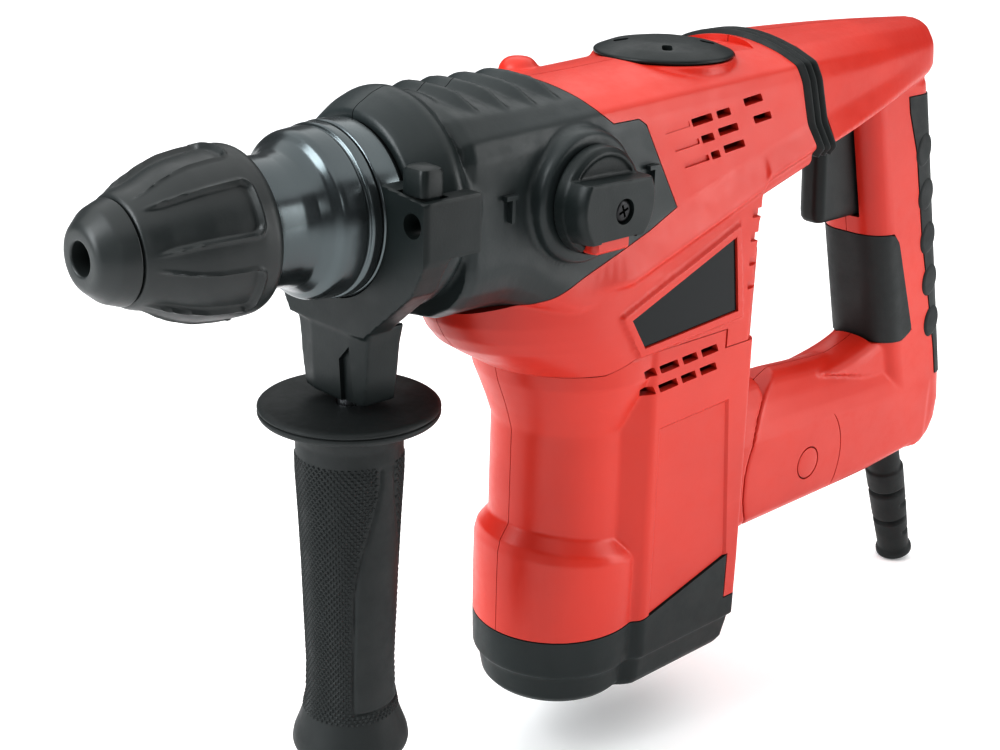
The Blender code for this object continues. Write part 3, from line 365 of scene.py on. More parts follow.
def repeat_tree():
    """A piece set out again and again, each copy moved and turned by a step from the one before."""
    name = "repeated_piece"
    if name in bpy.data.node_groups:
        return bpy.data.node_groups[name]
    tree = bpy.data.node_groups.new(name, "GeometryNodeTree")
    face = tree.interface
    face.new_socket("Piece", in_out="INPUT", socket_type="NodeSocketGeometry")
    count = face.new_socket("Count", in_out="INPUT", socket_type="NodeSocketInt")
    count.default_value, count.min_value = 4, 1
    face.new_socket("Centre", in_out="INPUT", socket_type="NodeSocketVector")
    face.new_socket("Step", in_out="INPUT", socket_type="NodeSocketVector")
    face.new_socket("Turn", in_out="INPUT", socket_type="NodeSocketVector")
    face.new_socket("Finish", in_out="INPUT", socket_type="NodeSocketMaterial")
    face.new_socket("Pieces", in_out="OUTPUT", socket_type="NodeSocketGeometry")
    nodes, link = tree.nodes, tree.links.new
    given, out = nodes.new("NodeGroupInput"), nodes.new("NodeGroupOutput")
    line = nodes.new("GeometryNodeMeshLine")
    place = nodes.new("GeometryNodeInstanceOnPoints")
    index = nodes.new("GeometryNodeInputIndex")
    turn = nodes.new("ShaderNodeVectorMath")
    turn.operation = "SCALE"
    real = nodes.new("GeometryNodeRealizeInstances")
    paint = nodes.new("GeometryNodeSetMaterial")
    link(given.outputs["Count"], line.inputs["Count"])
    link(given.outputs["Centre"], line.inputs["Start Location"])
    link(given.outputs["Step"], line.inputs["Offset"])
    link(given.outputs["Turn"], turn.inputs[0])
    link(index.outputs[0], turn.inputs["Scale"])
    link(line.outputs[0], place.inputs["Points"])
    link(given.outputs["Piece"], place.inputs["Instance"])
    link(turn.outputs[0], place.inputs["Rotation"])
    link(place.outputs[0], real.inputs[0])
    link(real.outputs[0], paint.inputs[0])
    link(given.outputs["Finish"], paint.inputs["Material"])
    link(paint.outputs[0], out.inputs[0])
    return tree


def stud_tree():
    """Small four-sided studs that stand on the points of a guide mesh and face along its attribute."""
    name = "studded_patch"
    if name in bpy.data.node_groups:
        return bpy.data.node_groups[name]
    tree = bpy.data.node_groups.new(name, "GeometryNodeTree")
    face = tree.interface
    face.new_socket("Patch", in_out="INPUT", socket_type="NodeSocketGeometry")
    for label, value in (("Width", 1.5 * MM), ("Height", 0.5 * MM)):
        socket = face.new_socket(label, in_out="INPUT", socket_type="NodeSocketFloat")
        socket.default_value = value
    face.new_socket("Finish", in_out="INPUT", socket_type="NodeSocketMaterial")
    face.new_socket("Studs", in_out="OUTPUT", socket_type="NodeSocketGeometry")
    nodes, link = tree.nodes, tree.links.new
    given, out = nodes.new("NodeGroupInput"), nodes.new("NodeGroupOutput")
    cone = nodes.new("GeometryNodeMeshCone")
    cone.inputs["Vertices"].default_value = 4
    half = nodes.new("ShaderNodeMath")
    half.operation = "MULTIPLY"
    half.inputs[1].default_value = 0.5
    tip = nodes.new("ShaderNodeMath")
    tip.operation = "MULTIPLY"
    tip.inputs[1].default_value = 0.2
    link(given.outputs["Width"], half.inputs[0])
    link(half.outputs[0], cone.inputs["Radius Bottom"])
    link(given.outputs["Width"], tip.inputs[0])
    link(tip.outputs[0], cone.inputs["Radius Top"])
    link(given.outputs["Height"], cone.inputs["Depth"])
    normal = nodes.new("GeometryNodeInputNamedAttribute")
    normal.data_type = "FLOAT_VECTOR"
    normal.inputs["Name"].default_value = "facing"
    align = nodes.new("FunctionNodeAlignRotationToVector")
    align.axis = "Z"
    place = nodes.new("GeometryNodeInstanceOnPoints")
    real = nodes.new("GeometryNodeRealizeInstances")
    paint = nodes.new("GeometryNodeSetMaterial")
    link(normal.outputs[0], align.inputs["Vector"])
    link(given.outputs["Patch"], place.inputs["Points"])
    link(cone.outputs[0], place.inputs["Instance"])
    link(align.outputs[0], place.inputs["Rotation"])
    link(place.outputs[0], real.inputs[0])
    link(real.outputs[0], paint.inputs[0])
    link(given.outputs["Finish"], paint.inputs["Material"])
    link(paint.outputs[0], out.inputs[0])
    return tree


def grown(obj, tree, **values):
    """Runs a node tree on the object and keeps its result as a plain mesh."""
    step = obj.modifiers.new(tree.name, "NODES")
    step.node_group = tree
    for label, value in values.items():
        step[socket_id(tree, label)] = value
    return settled(obj)


def repeated(obj, count, step=(0, 0, 0), turn=(0, 0, 0), centre=(0, 0, 0), finish="red_plastic"):
    """Copies of the piece. With a centre, the piece is made round the origin."""
    return grown(
        obj,
        repeat_tree(),
        Count=count,
        Centre=[v * MM for v in centre],
        Step=[v * MM for v in step],
        Turn=list(turn),
        Finish=material(finish),
    )


# ---------------------------------------------------------------- finishes


def shader_group(name, inputs, outputs, build):
    if name in bpy.data.node_groups:
        return bpy.data.node_groups[name]
    group = bpy.data.node_groups.new(name, "ShaderNodeTree")
    for label, value in inputs:
        socket = group.interface.new_socket(label, in_out="INPUT", socket_type="NodeSocketFloat")
        socket.default_value = value
    for label in outputs:
        group.interface.new_socket(label, in_out="OUTPUT", socket_type="NodeSocketFloat")
    given, out = group.nodes.new("NodeGroupInput"), group.nodes.new("NodeGroupOutput")
    where = group.nodes.new("ShaderNodeTexCoord").outputs["Object"]
    build(group.nodes, group.links.new, given.outputs, out.inputs, where)
    return group


def noise(nodes, link, where, scale, detail=3.0, rough=0.55):
    made = nodes.new("ShaderNodeTexNoise")
    made.inputs["Detail"].default_value = detail
    made.inputs["Roughness"].default_value = rough
    link(where, made.inputs["Vector"])
    if isinstance(scale, (int, float)):
        made.inputs["Scale"].default_value = scale
    else:
        link(scale, made.inputs["Scale"])
    return made.outputs["Fac"]


def spread(nodes, link, value, low, high):
    """The value stretched so that low becomes 0 and high becomes 1."""
    made = nodes.new("ShaderNodeMapRange")
    made.inputs["From Min"].default_value = low
    made.inputs["From Max"].default_value = high
    link(value, made.inputs["Value"])
    return made.outputs["Result"]


def sums(nodes, link, a, b, share):
    """a plus a share of b."""
    made = nodes.new("ShaderNodeMath")
    made.operation = "MULTIPLY_ADD"
    link(b, made.inputs[0])
    made.inputs[1].default_value = share
    link(a, made.inputs[2])
    return made.outputs[0]


def mould_grain():
    """Spark-eroded mould texture: fine leather-like grain, with slow changes of tone and gloss."""

    def build(nodes, link, given, out, where):
        fine = noise(nodes, link, where, given["Grain"], 4.0, 0.6)
        cells = nodes.new("ShaderNodeTexVoronoi")
        cells.feature = "SMOOTH_F1"
        link(where, cells.inputs["Vector"])
        link(given["Grain"], cells.inputs["Scale"])
        link(sums(nodes, link, fine, cells.outputs["Distance"], 0.8), out["Height"])
        slow = noise(nodes, link, where, given["Drift"], 2.0, 0.5)
        link(spread(nodes, link, slow, 0.35, 0.65), out["Tone"])
        rubbed = noise(nodes, link, where, 95.0, 5.0, 0.7)
        link(spread(nodes, link, rubbed, 0.38, 0.68), out["Gloss"])

    return shader_group(
        "mould_grain", (("Grain", 1500.0), ("Drift", 12.0)), ("Height", "Tone", "Gloss"), build
    )


def handling_marks():
    """Faint long scratches and dust specks from use."""

    def build(nodes, link, given, out, where):
        stretch = nodes.new("ShaderNodeMapping")
        stretch.inputs["Scale"].default_value = (0.12, 1.0, 0.6)
        stretch.inputs["Rotation"].default_value = (0.3, 0.5, 0.9)
        link(where, stretch.inputs["Vector"])
        lines = noise(nodes, link, stretch.outputs[0], given["Scratches"], 6.0, 0.75)
        link(spread(nodes, link, lines, 0.66, 0.74), out["Scratch"])
        specks = noise(nodes, link, where, given["Specks"], 2.0, 0.4)
        link(spread(nodes, link, specks, 0.70, 0.78), out["Dust"])

    return shader_group(
        "handling_marks", (("Scratches", 260.0), ("Specks", 900.0)), ("Scratch", "Dust"), build
    )


def brushed_lines():
    """Fine turning or grinding lines on bare metal."""

    def build(nodes, link, given, out, where):
        squeeze = nodes.new("ShaderNodeMapping")
        squeeze.inputs["Scale"].default_value = (1.0, 0.04, 0.04)
        link(where, squeeze.inputs["Vector"])
        lines = noise(nodes, link, squeeze.outputs[0], given["Lines"], 5.0, 0.7)
        link(lines, out["Height"])
        link(spread(nodes, link, lines, 0.3, 0.7), out["Tone"])

    return shader_group("brushed_lines", (("Lines", 2500.0),), ("Height", "Tone"), build)


# base, shade, roughness from and to, grain scale, bump depth in mm, metallic, coat, specular
FINISHES = {
    "red_plastic": ((0.60, 0.036, 0.016), (0.53, 0.027, 0.012), 0.34, 0.46, 1500, 0.016, 0, 0.12, 0.5),
    "black_plastic": ((0.014, 0.020, 0.020), (0.008, 0.012, 0.012), 0.36, 0.48, 1300, 0.03, 0, 0.0, 0.35),
    "boot_plastic": ((0.018, 0.026, 0.026), (0.010, 0.016, 0.016), 0.42, 0.55, 1100, 0.03, 0, 0.0, 0.35),
    "coated_metal": ((0.024, 0.032, 0.033), (0.014, 0.020, 0.020), 0.34, 0.48, 900, 0.035, 0, 0.05, 0.4),
    "gloss_metal": ((0.13, 0.15, 0.155), (0.075, 0.088, 0.092), 0.21, 0.27, 500, 0.004, 0.85, 0.1, 0.5),
    "soft_rubber": ((0.020, 0.024, 0.024), (0.012, 0.015, 0.015), 0.50, 0.66, 1600, 0.03, 0, 0.0, 0.4),
    "chuck_rubber": ((0.024, 0.029, 0.029), (0.014, 0.018, 0.018), 0.36, 0.48, 1400, 0.02, 0, 0.05, 0.5),
    "plate_gloss": ((0.006, 0.009, 0.010), (0.004, 0.006, 0.007), 0.07, 0.12, 300, 0.003, 0, 0.0, 0.25),
    "screw_black": ((0.03, 0.03, 0.032), (0.015, 0.015, 0.016), 0.28, 0.42, 1200, 0.01, 0.7, 0.0, 0.5),
    "carbon_block": ((0.03, 0.03, 0.032), (0.02, 0.02, 0.021), 0.6, 0.8, 900, 0.03, 0, 0.0, 0.3),
}
# finishes whose base and shade the user can set
CHOSEN_COLOURS = {
    "red_plastic": ("shell_colour", "shell_shade"),
    "black_plastic": ("trim_colour", "trim_shade"),
}
METALS = {
    "ground_steel": ((0.52, 0.53, 0.55), (0.40, 0.41, 0.43), 0.22, 0.34),
    "sheet_stack": ((0.24, 0.24, 0.26), (0.14, 0.14, 0.15), 0.4, 0.55),
    "copper_bar": ((0.70, 0.31, 0.14), (0.52, 0.21, 0.09), 0.25, 0.4),
    "brass_sheet": ((0.74, 0.52, 0.20), (0.58, 0.38, 0.13), 0.22, 0.36),
}


def chosen():
    """The settings as the user left them."""
    return bpy.context.scene.hammer_settings


def shaded(nodes, link, factor, first, second):
    made = nodes.new("ShaderNodeMix")
    made.data_type = "RGBA"
    link(factor, made.inputs["Factor"])
    for socket, colour in ((made.inputs[6], first), (made.inputs[7], second)):
        if hasattr(colour, "links"):
            link(colour, socket)
        else:
            socket.default_value = (*colour, 1.0)
    return made.outputs[2]


def material(name):
    """The finish of this name, made the first time it is asked for."""
    if name in bpy.data.materials:
        return bpy.data.materials[name]
    made = bpy.data.materials.new(name)
    made.use_nodes = True
    nodes, link = made.node_tree.nodes, made.node_tree.links.new
    shader = nodes["Principled BSDF"]
    if name in METALS:
        base, shade, low, high = METALS[name]
        lines = nodes.new("ShaderNodeGroup")
        lines.node_tree = brushed_lines()
        tone = gloss = lines.outputs["Tone"]
        height = lines.outputs["Height"]
        depth = METAL_LINES
        shader.inputs["Metallic"].default_value = 1.0
        colour = shaded(nodes, link, tone, base, shade)
    else:
        base, shade, low, high, grain, depth, metal, coat, specular = FINISHES[name]
        if name in CHOSEN_COLOURS:
            base, shade = (tuple(getattr(chosen(), key)) for key in CHOSEN_COLOURS[name])
        skin = nodes.new("ShaderNodeGroup")
        skin.node_tree = mould_grain()
        skin.inputs["Grain"].default_value = grain
        marks = nodes.new("ShaderNodeGroup")
        marks.node_tree = handling_marks()
        tone, height, gloss = skin.outputs["Tone"], skin.outputs["Height"], skin.outputs["Gloss"]
        colour = shaded(nodes, link, tone, base, shade)
        lighter = tuple(min(1.0, c * 1.12 + 0.012) for c in base)
        worn = nodes.new("ShaderNodeMath")
        worn.operation = "MULTIPLY"
        worn.inputs[1].default_value = 0.35
        link(marks.outputs["Scratch"], worn.inputs[0])
        colour = shaded(nodes, link, worn.outputs[0], colour, lighter)
        shader.inputs["Metallic"].default_value = metal
        shader.inputs["Coat Weight"].default_value = coat
        shader.inputs["Coat Roughness"].default_value = 0.25
        shader.inputs["Specular IOR Level"].default_value = specular
    link(colour, shader.inputs["Base Color"])
    rough = nodes.new("ShaderNodeMapRange")
    rough.inputs["To Min"].default_value = low
    rough.inputs["To Max"].default_value = high
    link(gloss, rough.inputs["Value"])
    link(rough.outputs["Result"], shader.inputs["Roughness"])
    bump = nodes.new("ShaderNodeBump")
    bump.inputs["Strength"].default_value = 0.6
    bump.inputs["Distance"].default_value = depth * MM
    link(height, bump.inputs["Height"])
    link(bump.outputs["Normal"], shader.inputs["Normal"])
    return made


# ---------------------------------------------------------------- form of the body

CASE_REGION = [
    (-150, AXIS + 60),
    (-27, AXIS + 60),
    (-27, AXIS + 33),
    (-21.4, AXIS + 24.5),
    (-16.1, AXIS + 20.4),
    (-3.4, AXIS + 20.5),
    (0.2, AXIS + 18.1),
    (18.0, AXIS - 13.6),
    (3.5, AXIS - 19.6),
    (-59.5, AXIS - 40.6),
    (-66.0, AXIS - 43.0),
    (-150, AXIS - 43.0),
]
SPLIT = AXIS - 71.0
UPPER_REGION = [
    (-90, SPLIT),
    (-14, SPLIT),
    (0, SPLIT + 4),
    (52, SPLIT + 4),
    (52, SPLIT - 3.5),
    (130, SPLIT - 3.5),
    (130, AXIS + 80),
    (-90, AXIS + 80),
]
BOOT_REGION = [(-60, 28), (12, 31), (63.5, 44), (63.5, 24), (110, 24), (110, -20), (-60, -20)]
LABEL = [(-4.8, AXIS - 51.3), (51.1, AXIS - 30.5), (55.3, AXIS - 59.7), (2.7, AXIS - 63.0)]
DIAL_X, DIAL_Z = -34.0, AXIS - 1.0
REAR_LEAN = 0.25


def crown(x):
    return AXIS + 33.0 + 4.0 * step01((x + 30) / 120)


def shoulder(x):
    return AXIS + 22.3 + 0.0403 * (x + 84)


def ledge(x):
    return AXIS - 20.7 + 0.2756 * (x + 5.1)


def body_half(x, inset=0.0):
    """Half of the upper body's section, from the crown down the side to the floor."""
    top, side, z_ledge = crown(x) - inset, shoulder(x) - inset, ledge(x)
    grow = step01((x + 30) / 25) * (inset == 0)
    z_floor = max(AXIS - 45 if x <= 66 else z_ledge - 18, AXIS - 45)
    z_low = max(AXIS - 14.4 + 0.32 * (x - 61), z_floor + 9)
    arch = [(y, top - 0.0077 * y * y) for y in (0, 5, 10, 15, 20, 24)]
    upper = arch + [(HALF_W - 4.5 - inset, side), (HALF_W - 2.3 - inset, side - 6)]
    width = HALF_W - 0.2 - inset
    sides = [
        (HALF_W - 1 - inset, max(z_ledge, z_low + 3)),
        (width + 3.2 * grow, z_low),
        (width, z_low - 3.2),
        (width, z_floor + 3 + inset),
        (width - 2, z_floor + inset),
        (width / 2, z_floor + inset),
        (0, z_floor + inset),
    ]
    bowl = [
        (HALF_W - 1 - inset, AXIS - 12),
        (HALF_W - 0.5 - inset, AXIS - 20),
        (HALF_W - 1 - inset, AXIS - 23),
        (HALF_W - 3 - inset, AXIS - 28),
        (HALF_W - 8.5 - inset, AXIS - 34 + inset / 2),
        (HALF_W - 20 - inset, AXIS - 40 + inset),
        (0, AXIS - 42 + inset),
    ]
    share = step01((x + 66) / 40)
    lower = [(mix(a[0], b[0], share), mix(a[1], b[1], share)) for a, b in zip(bowl, sides)]
    return eased(upper + lower, 1.4 if inset == 0 else 0.5)


def both_sides(half):
    return half + [(x, -y, z) for x, y, z in half[-2:0:-1]]


def body(start, end, inset=0.0, every=4.0, squeeze=1.0):
    count = max(2, math.ceil((end - start) / every))
    xs = [start + (end - start) * i / count for i in range(count + 1)]
    xs = sorted(set(xs + [x for x in (66.0, 68.0) if start < x < end]))
    rings = []
    for x in xs:
        scale = mix(squeeze, 1.0, step01((x - start) / 5))
        half = [(x, y * scale, AXIS + (z - AXIS) * scale) for y, z in body_half(x, inset)]
        rings.append(both_sides(half))
    return loft(rings, "body")


def belly(inset=0.0, low=0.0):
    levels = [
        (SPLIT - 6, -35.8, 35.2, 36),
        (SPLIT, -38.0, 35.4, 38),
        (AXIS - 64, -50.0, 35.4, 44),
        (AXIS - 59, -58.0, 35.4, 48),
        (AXIS - 54, -62.5, 35.5, 50),
        (AXIS - 48, -66.0, 35.5, 52),
        (AXIS - 38, -68.0, 35.5, 54),
    ]
    rings = []
    for k, (z, front, half_w, nose) in enumerate(levels):
        half = []
        for i in range(25):
            angle = math.radians(90 * i / 24)
            x = front + nose - (nose - inset) * math.cos(angle)
            half.append((x, (half_w - inset) * math.sin(angle)))
        half += [(65, half_w - inset), (70.5 - inset, half_w - 3 - inset), (71 - inset, 0)]
        rings.append(both_sides([(x, y, z - low * (k == 0)) for x, y in half]))
    return loft(rings, "belly")


def barrel(inset=0.0, low=-1.0, high=150.0):
    """The round front of the motor housing. The step above the bulge runs down towards the rear."""
    levels = [
        (0.0, 25.5, 0),
        (0.8, 26.8, 0),
        (3.0, 28.8, 0),
        (12.6, 30.6, 0),
        (14.4, 32.6, 0),
        (28.0, 33.0, 0),
        (50.0, 33.2, 0),
        (63.0, 33.1, 0.10),
        (68.0, 32.0, 0.16),
        (72.5, 29.0, 0.18),
        (74.0, WAIST, 0.18),
        (90.0, WAIST, 0.05),
        (SPLIT - 27.5, WAIST, 0),
        (SPLIT - 26.0, WAIST + 0.2, 0),
        (SPLIT - 19, WAIST + 2.5, 0),
        (SPLIT - 13, WAIST + 4.8, 0),
        (SPLIT - 6, 35.6, 0),
        (SPLIT + 4, 38.4, 0),
    ]
    rings = []
    for z, r, tilt in levels:
        if low <= z <= high:
            ring = []
            for i in range(96):
                a = 2 * math.pi * i / 96
                x, y = (r - inset) * math.cos(a), min(r, HALF_W - 0.3 - inset) * math.sin(a)
                ring.append((x, y * (r - inset) / r, z - tilt * (x + 33)))
            rings.append(ring)
    return loft(rings, "barrel")


def side_panel(inset=0.0, front=10.0, low=-1.0):
    """The flat-sided rear of the motor housing."""
    levels = [
        (0.0, 29.0, 66.0),
        (1.0, 30.2, 68.5),
        (3.5, 31.6, 70.5),
        (13.4, 33.0, 72.5),
        (14.6, 34.8, 73.0),
        (40.0, 35.0, 73.0),
        (SPLIT + 7, 35.0, 71.5),
    ]
    rings = []
    for z, half_w, rear in levels:
        if z < low:
            continue
        w, rear = half_w - inset, rear - inset
        lean = 2.6 * (1 - min(z, 110) / 110)
        edge = front + lean
        half = [
            (edge - 12, 0),
            (edge - 12, w - 9.5),
            (edge + 0.4, w - 0.7),
            (edge + 2.2, w),
            (rear - 3, w),
            (rear, w - 3),
            (rear, 0),
        ]
        rings.append(both_sides([(x, y, z) for x, y in half]))
    return loft(rings, "side_panel")


def rear_plane(offset):
    low, high = AXIS - 80, AXIS + 60
    lean = [(86 + offset + REAR_LEAN * (AXIS + 35 - z), z) for z in (low, high)]
    return lean + [(lean[0][0] + 400, high), (lean[0][0] + 400, low)]


def pocket(outline, face, depth, draft, side=-1):
    """A cutter for a shallow recess with sloping sides in a face across Y."""
    levels = ((face + 4, draft + 4 * draft / max(depth, 0.1)), (face, draft), (face - depth, 0.0))
    rings = []
    for y, grow in levels:
        rings.append([(x, side * y, z) for x, z in widened(outline, grow)])
    return loft(rings, "pocket")


def slot_cut(x0, x1, z, height=2.9, slope=0.09, side=-1, depth=(28, 42)):
    """A cutter for a slanted vent slot."""
    rise = (x1 - x0) * slope / 2
    lean = height * 0.25
    outline = [
        (x0 + lean, z - rise - height / 2),
        (x1 + lean, z + rise - height / 2),
        (x1 - lean, z + rise + height / 2),
        (x0 - lean, z - rise + height / 2),
    ]
    return slab(eased(outline, 0.5, 2, True), "Y", side * depth[0], side * depth[1])


# ---------------------------------------------------------------- housings


def gear_case_shell():
    lip = spun(
        eased(
            [
                (-103.3, 26),
                (-103.3, 30.4),
                (-101.0, 32.2),
                (-95.5, 35.2),
                (-90.5, 36.9),
                (-88.0, 36.9),
                (-84, 34.6),
                (-79, 34.4),
                (-70, 30),
                (-70, 26),
            ],
            0.8,
            3,
            True,
        ),
        "X",
        ON_AXIS,
        160,
    )
    boss = spun(
        eased([(-40.0, 0), (-40.0, 21.4), (-38.6, 22.6), (-30, 23.4), (-30, 0)], 0.8),
        "Y",
        (DIAL_X, 0, DIAL_Z),
        128,
    )
    ribs = []
    for x, reach in ((-73.5, 27), (-61, 28), (-48.5, 28), (-36.5, 27)):
        rings = []
        for k in range(25):
            y = -reach + 2 * reach * k / 24
            fade = step01((reach - abs(y)) / 16)
            z = crown(x) - 0.0077 * y * y - (abs(y) > 24) * (abs(y) - 24) * 0.55 - 0.6
            top = 3.6 * fade
            skew = 0.10 * abs(y)
            rings.append(
                [
                    (x - 7.5 + skew, y, z - 3),
                    (x + 0.4 + skew, y, z + top),
                    (x + 2.0 + skew, y, z + top),
                    (x + 3.4 + skew, y, z - 3),
                ],
            )
        ribs.append(loft(rings))
    marks = []
    for x in (-66.0, 3.5):
        marks.append(block((x - 0.7, -36.2, AXIS - 5), (x + 0.7, -34, AXIS + 3.4)))
        marks.append(block((x - 3.2, -36.21, AXIS + 2.6), (x + 2.2, -34.2, AXIS + 4.1)))
    case = weld("gear_case_shell", [body(-84, 30, squeeze=0.965), lip, boss] + ribs, 0.75, 3)
    carve(case, *marks, operation="UNION")
    hollow = body(-78, 40, inset=4.0, every=10)
    bore = rod(27.7, -120, -70, "X", ON_AXIS, 96)
    dial_bore = rod(5.6, -60, -20, "Y", (DIAL_X, 0, DIAL_Z), 32)
    carve(case, bore, hollow, dial_bore)
    keep(case, slab(widened(CASE_REGION, -SEAM * 0.2), "Y", -80, 80))
    carve(case, block((-112, -0.15, AXIS + 25), (-60, 0.15, AXIS + 60)))
    shown(case, "gear_case_shell", "housing", "coated_metal", ("gear_case",))


UPPER_VENTS = (
    (24.7, 35.8, 16.2),
    (38.6, 46.0, 17.2),
    (30.5, 37.2, 9.2),
    (39.9, 50.8, 10.9),
    (36.3, 41.0, 2.5),
    (43.4, 55.0, 4.2),
    (53.9, 64.4, 20.0),
    (60.2, 70.2, 12.8),
)


def upper_shell():
    frame_rim = slab(widened(LABEL, 3.6), "Y", -36.9, -30)
    seat = spun(
        eased(
            [
                (AXIS + 28, 0),
                (AXIS + 28, 27.5),
                (AXIS + 32.6, 27.0),
                (AXIS + 33.6, 26.2),
                (AXIS + 33.6, 0),
            ],
            0.6,
        ),
        "Z",
        (CAP_X, 0, 0),
        128,
    )
    bump = spun(
        eased(
            [
                (AXIS + 25, 0),
                (AXIS + 25, 8.5),
                (AXIS + 32.5, 7.0),
                (AXIS + 35.0, 4.6),
                (AXIS + 35.6, 0),
            ],
            1.5,
        ),
        "Z",
        (-10, 20, 0),
        48,
    )
    shell = weld("upper_shell", [body(-82, 114, squeeze=0.98), belly(), frame_rim, seat, bump], 0.8, 2)
    carve(shell, slab(widened(CASE_REGION, SEAM), "Y", -80, 80), slab(rear_plane(0), "Y", -80, 80))
    keep(shell, slab(widened(UPPER_REGION, -SEAM), "Y", -80, 80))
    carve(
        shell,
        body(-78, 63, inset=WALL, every=12),
        body(67.5, 82, inset=WALL, every=12),
        belly(WALL, 12),
    )
    carve(shell, block((40, -31.8, AXIS - 44), (68, 31.8, AXIS - 10)))
    carve(
        shell,
        rod(25.0, AXIS + 20, AXIS + 70, "Z", (CAP_X, 0, 0), 96),
        rod(26.8, AXIS + 33.4, AXIS + 70, "Z", (CAP_X, 0, 0), 96),
    )
    carve(shell, slab(widened(LABEL, 0.35), "Y", -45, -34.4))
    arc = []
    for i in range(17):
        a = math.radians(-62 + 124 * i / 16)
        arc.append((50 + 34 * math.cos(a), 31 * math.sin(a)))
    inner = []
    for i, (x, y) in enumerate(arc):
        inner.append((x - 14 * math.cos(math.radians(-62 + 124 * i / 16)), y * 0.82))
    arc = arc + inner[::-1]
    carve(shell, slab(arc, "Z", AXIS + 34.6, AXIS + 60))
    for x0, x1, dz in UPPER_VENTS:
        for side in (-1, 1):
            carve(shell, slot_cut(x0, x1, AXIS + dz, side=side))
    for x0, dz in ((24.7, 16.0), (30.5, 9.0), (36.3, 2.3)):
        carve(shell, slot_cut(x0 - 15, x0 - 1.5, AXIS + dz - 0.8, height=2.2, depth=(33.2, 42)))
    for side in (-1, 1):
        notch = slab(
            eased(
                [(62, AXIS - 25), (69.5, AXIS - 25), (69.5, AXIS - 21.5), (62, AXIS - 21.5)],
                0.6,
                2,
                True,
            ),
            "Y",
            side * 33.4,
            side * 40,
        )
        carve(shell, repeated(notch, 4, step=(0, 0, -9.4)))
    carve(shell, block((-95, -0.15, 100), (130, 0.15, 260)))
    shown(
        shell,
        "upper_shell",
        "housing",
        "red_plastic",
        ("upper_housing_left", "upper_housing_right"),
    )
    plate = slab(eased(LABEL, 1.2, 4, True), "Y", -36.0, -34.7)
    shown(plate, "blank_label", "housing", "plate_gloss", ("label_plate",), 20)


def motor_shell_and_boot():
    lug_rings = [both_sides([(x, y, z) for y, z in arm_half(x)]) for x in (68, 80, 96, 112)]
    lug = loft(lug_rings)
    carve(lug, rod(45.3, -40, 40, "Y", ON_PIVOT, 160))
    whole = weld("motor_shell", [barrel(), side_panel(), lug], 0.75, 2)
    boot = twin(whole, "motor_boot")
    recess = [(17, 110.5), (55.5, 112), (61.5, 46), (61.5, 40), (17.5, 28)]
    for side in (-1, 1):
        carve(whole, pocket(recess, 35.0, 0.9, 1.2, side))
    carve(
        whole,
        slab(widened(UPPER_REGION, SEAM), "Y", -80, 80),
        slab(widened(BOOT_REGION, SEAM), "Y", -80, 80),
    )
    carve(whole, barrel(WALL, 10), side_panel(WALL, 13, 10))
    for x0, x1 in ((5.7, 11.8), (14.0, 24.2), (26.8, 35.0), (37.7, 47.0)):
        for dz in (0.0, -7.4):
            for side in (-1, 1):
                carve(
                    whole,
                    slot_cut(
                        x0, x1, SPLIT - 4.4 + dz + 0.045 * (x0 + x1) / 2, 3.3, 0.05, side, (18, 42)
                    ),
                )
    carve(whole, block((-60, -0.15, 0), (80, 0.15, 160)))
    shown(
        whole,
        "motor_shell",
        "housing",
        "red_plastic",
        ("motor_housing_left", "motor_housing_right"),
    )
    keep(boot, slab(widened(BOOT_REGION, -SEAM), "Y", -80, 80))
    carve(boot, barrel(WALL, 10), side_panel(WALL, 13, 10))
    shown(boot, "motor_boot", "housing", "boot_plastic", ("motor_end_cap",))


def vent_cap():
    z = AXIS + 32
    profile = eased(
        [
            (z, 0),
            (z, 24.0),
            (z + 1.7, 24.6),
            (z + 1.9, 26.2),
            (z + 3.2, 26.2),
            (z + 5.6, 20),
            (z + 7.2, 11),
            (z + 7.7, 0),
        ],
        0.9,
    )
    cap = spun(profile, "Z", (CAP_X, 0, 0), 128)
    hole = slab(
        eased([(13.2, -1.9), (18.8, -1.9), (18.8, 1.9), (13.2, 1.9)], 1.4, 3, True), "Z", z - 8, z + 12
    )
    holes = repeated(hole, 4, turn=(0, 0, math.pi / 2), centre=(CAP_X, 0, 0))
    for vertex in holes.data.vertices:
        x, y = vertex.co.x - CAP_X * MM, vertex.co.y
        vertex.co.x, vertex.co.y = CAP_X * MM + (x - y) * 0.7071, (x + y) * 0.7071
    carve(cap, holes)
    shown(cap, "vent_cap", "housing", "black_plastic", ("service_cap",))


def neck():
    profile = eased(
        [
            (-148.9, 17.9),
            (-148.9, 20.9),
            (-137.5, 20.9),
            (-133, 21.5),
            (-129.6, 24.0),
            (-127.9, 26.3),
            (-126.4, 27.0),
            (-119.6, 27.6),
            (-119.1, 26.9),
            (-118.4, 26.9),
            (-117.9, 28.2),
            (-114.4, 28.2),
            (-114.2, 27.1),
            (-90, 27.1),
            (-90, 17.9),
        ],
        0.8,
        4,
        True,
    )
    shown(
        spun(split_long(profile, 3), "X", ON_AXIS, 160),
        "spindle_neck_turned",
        "housing",
        "gloss_metal",
        ("spindle_neck",),
    )


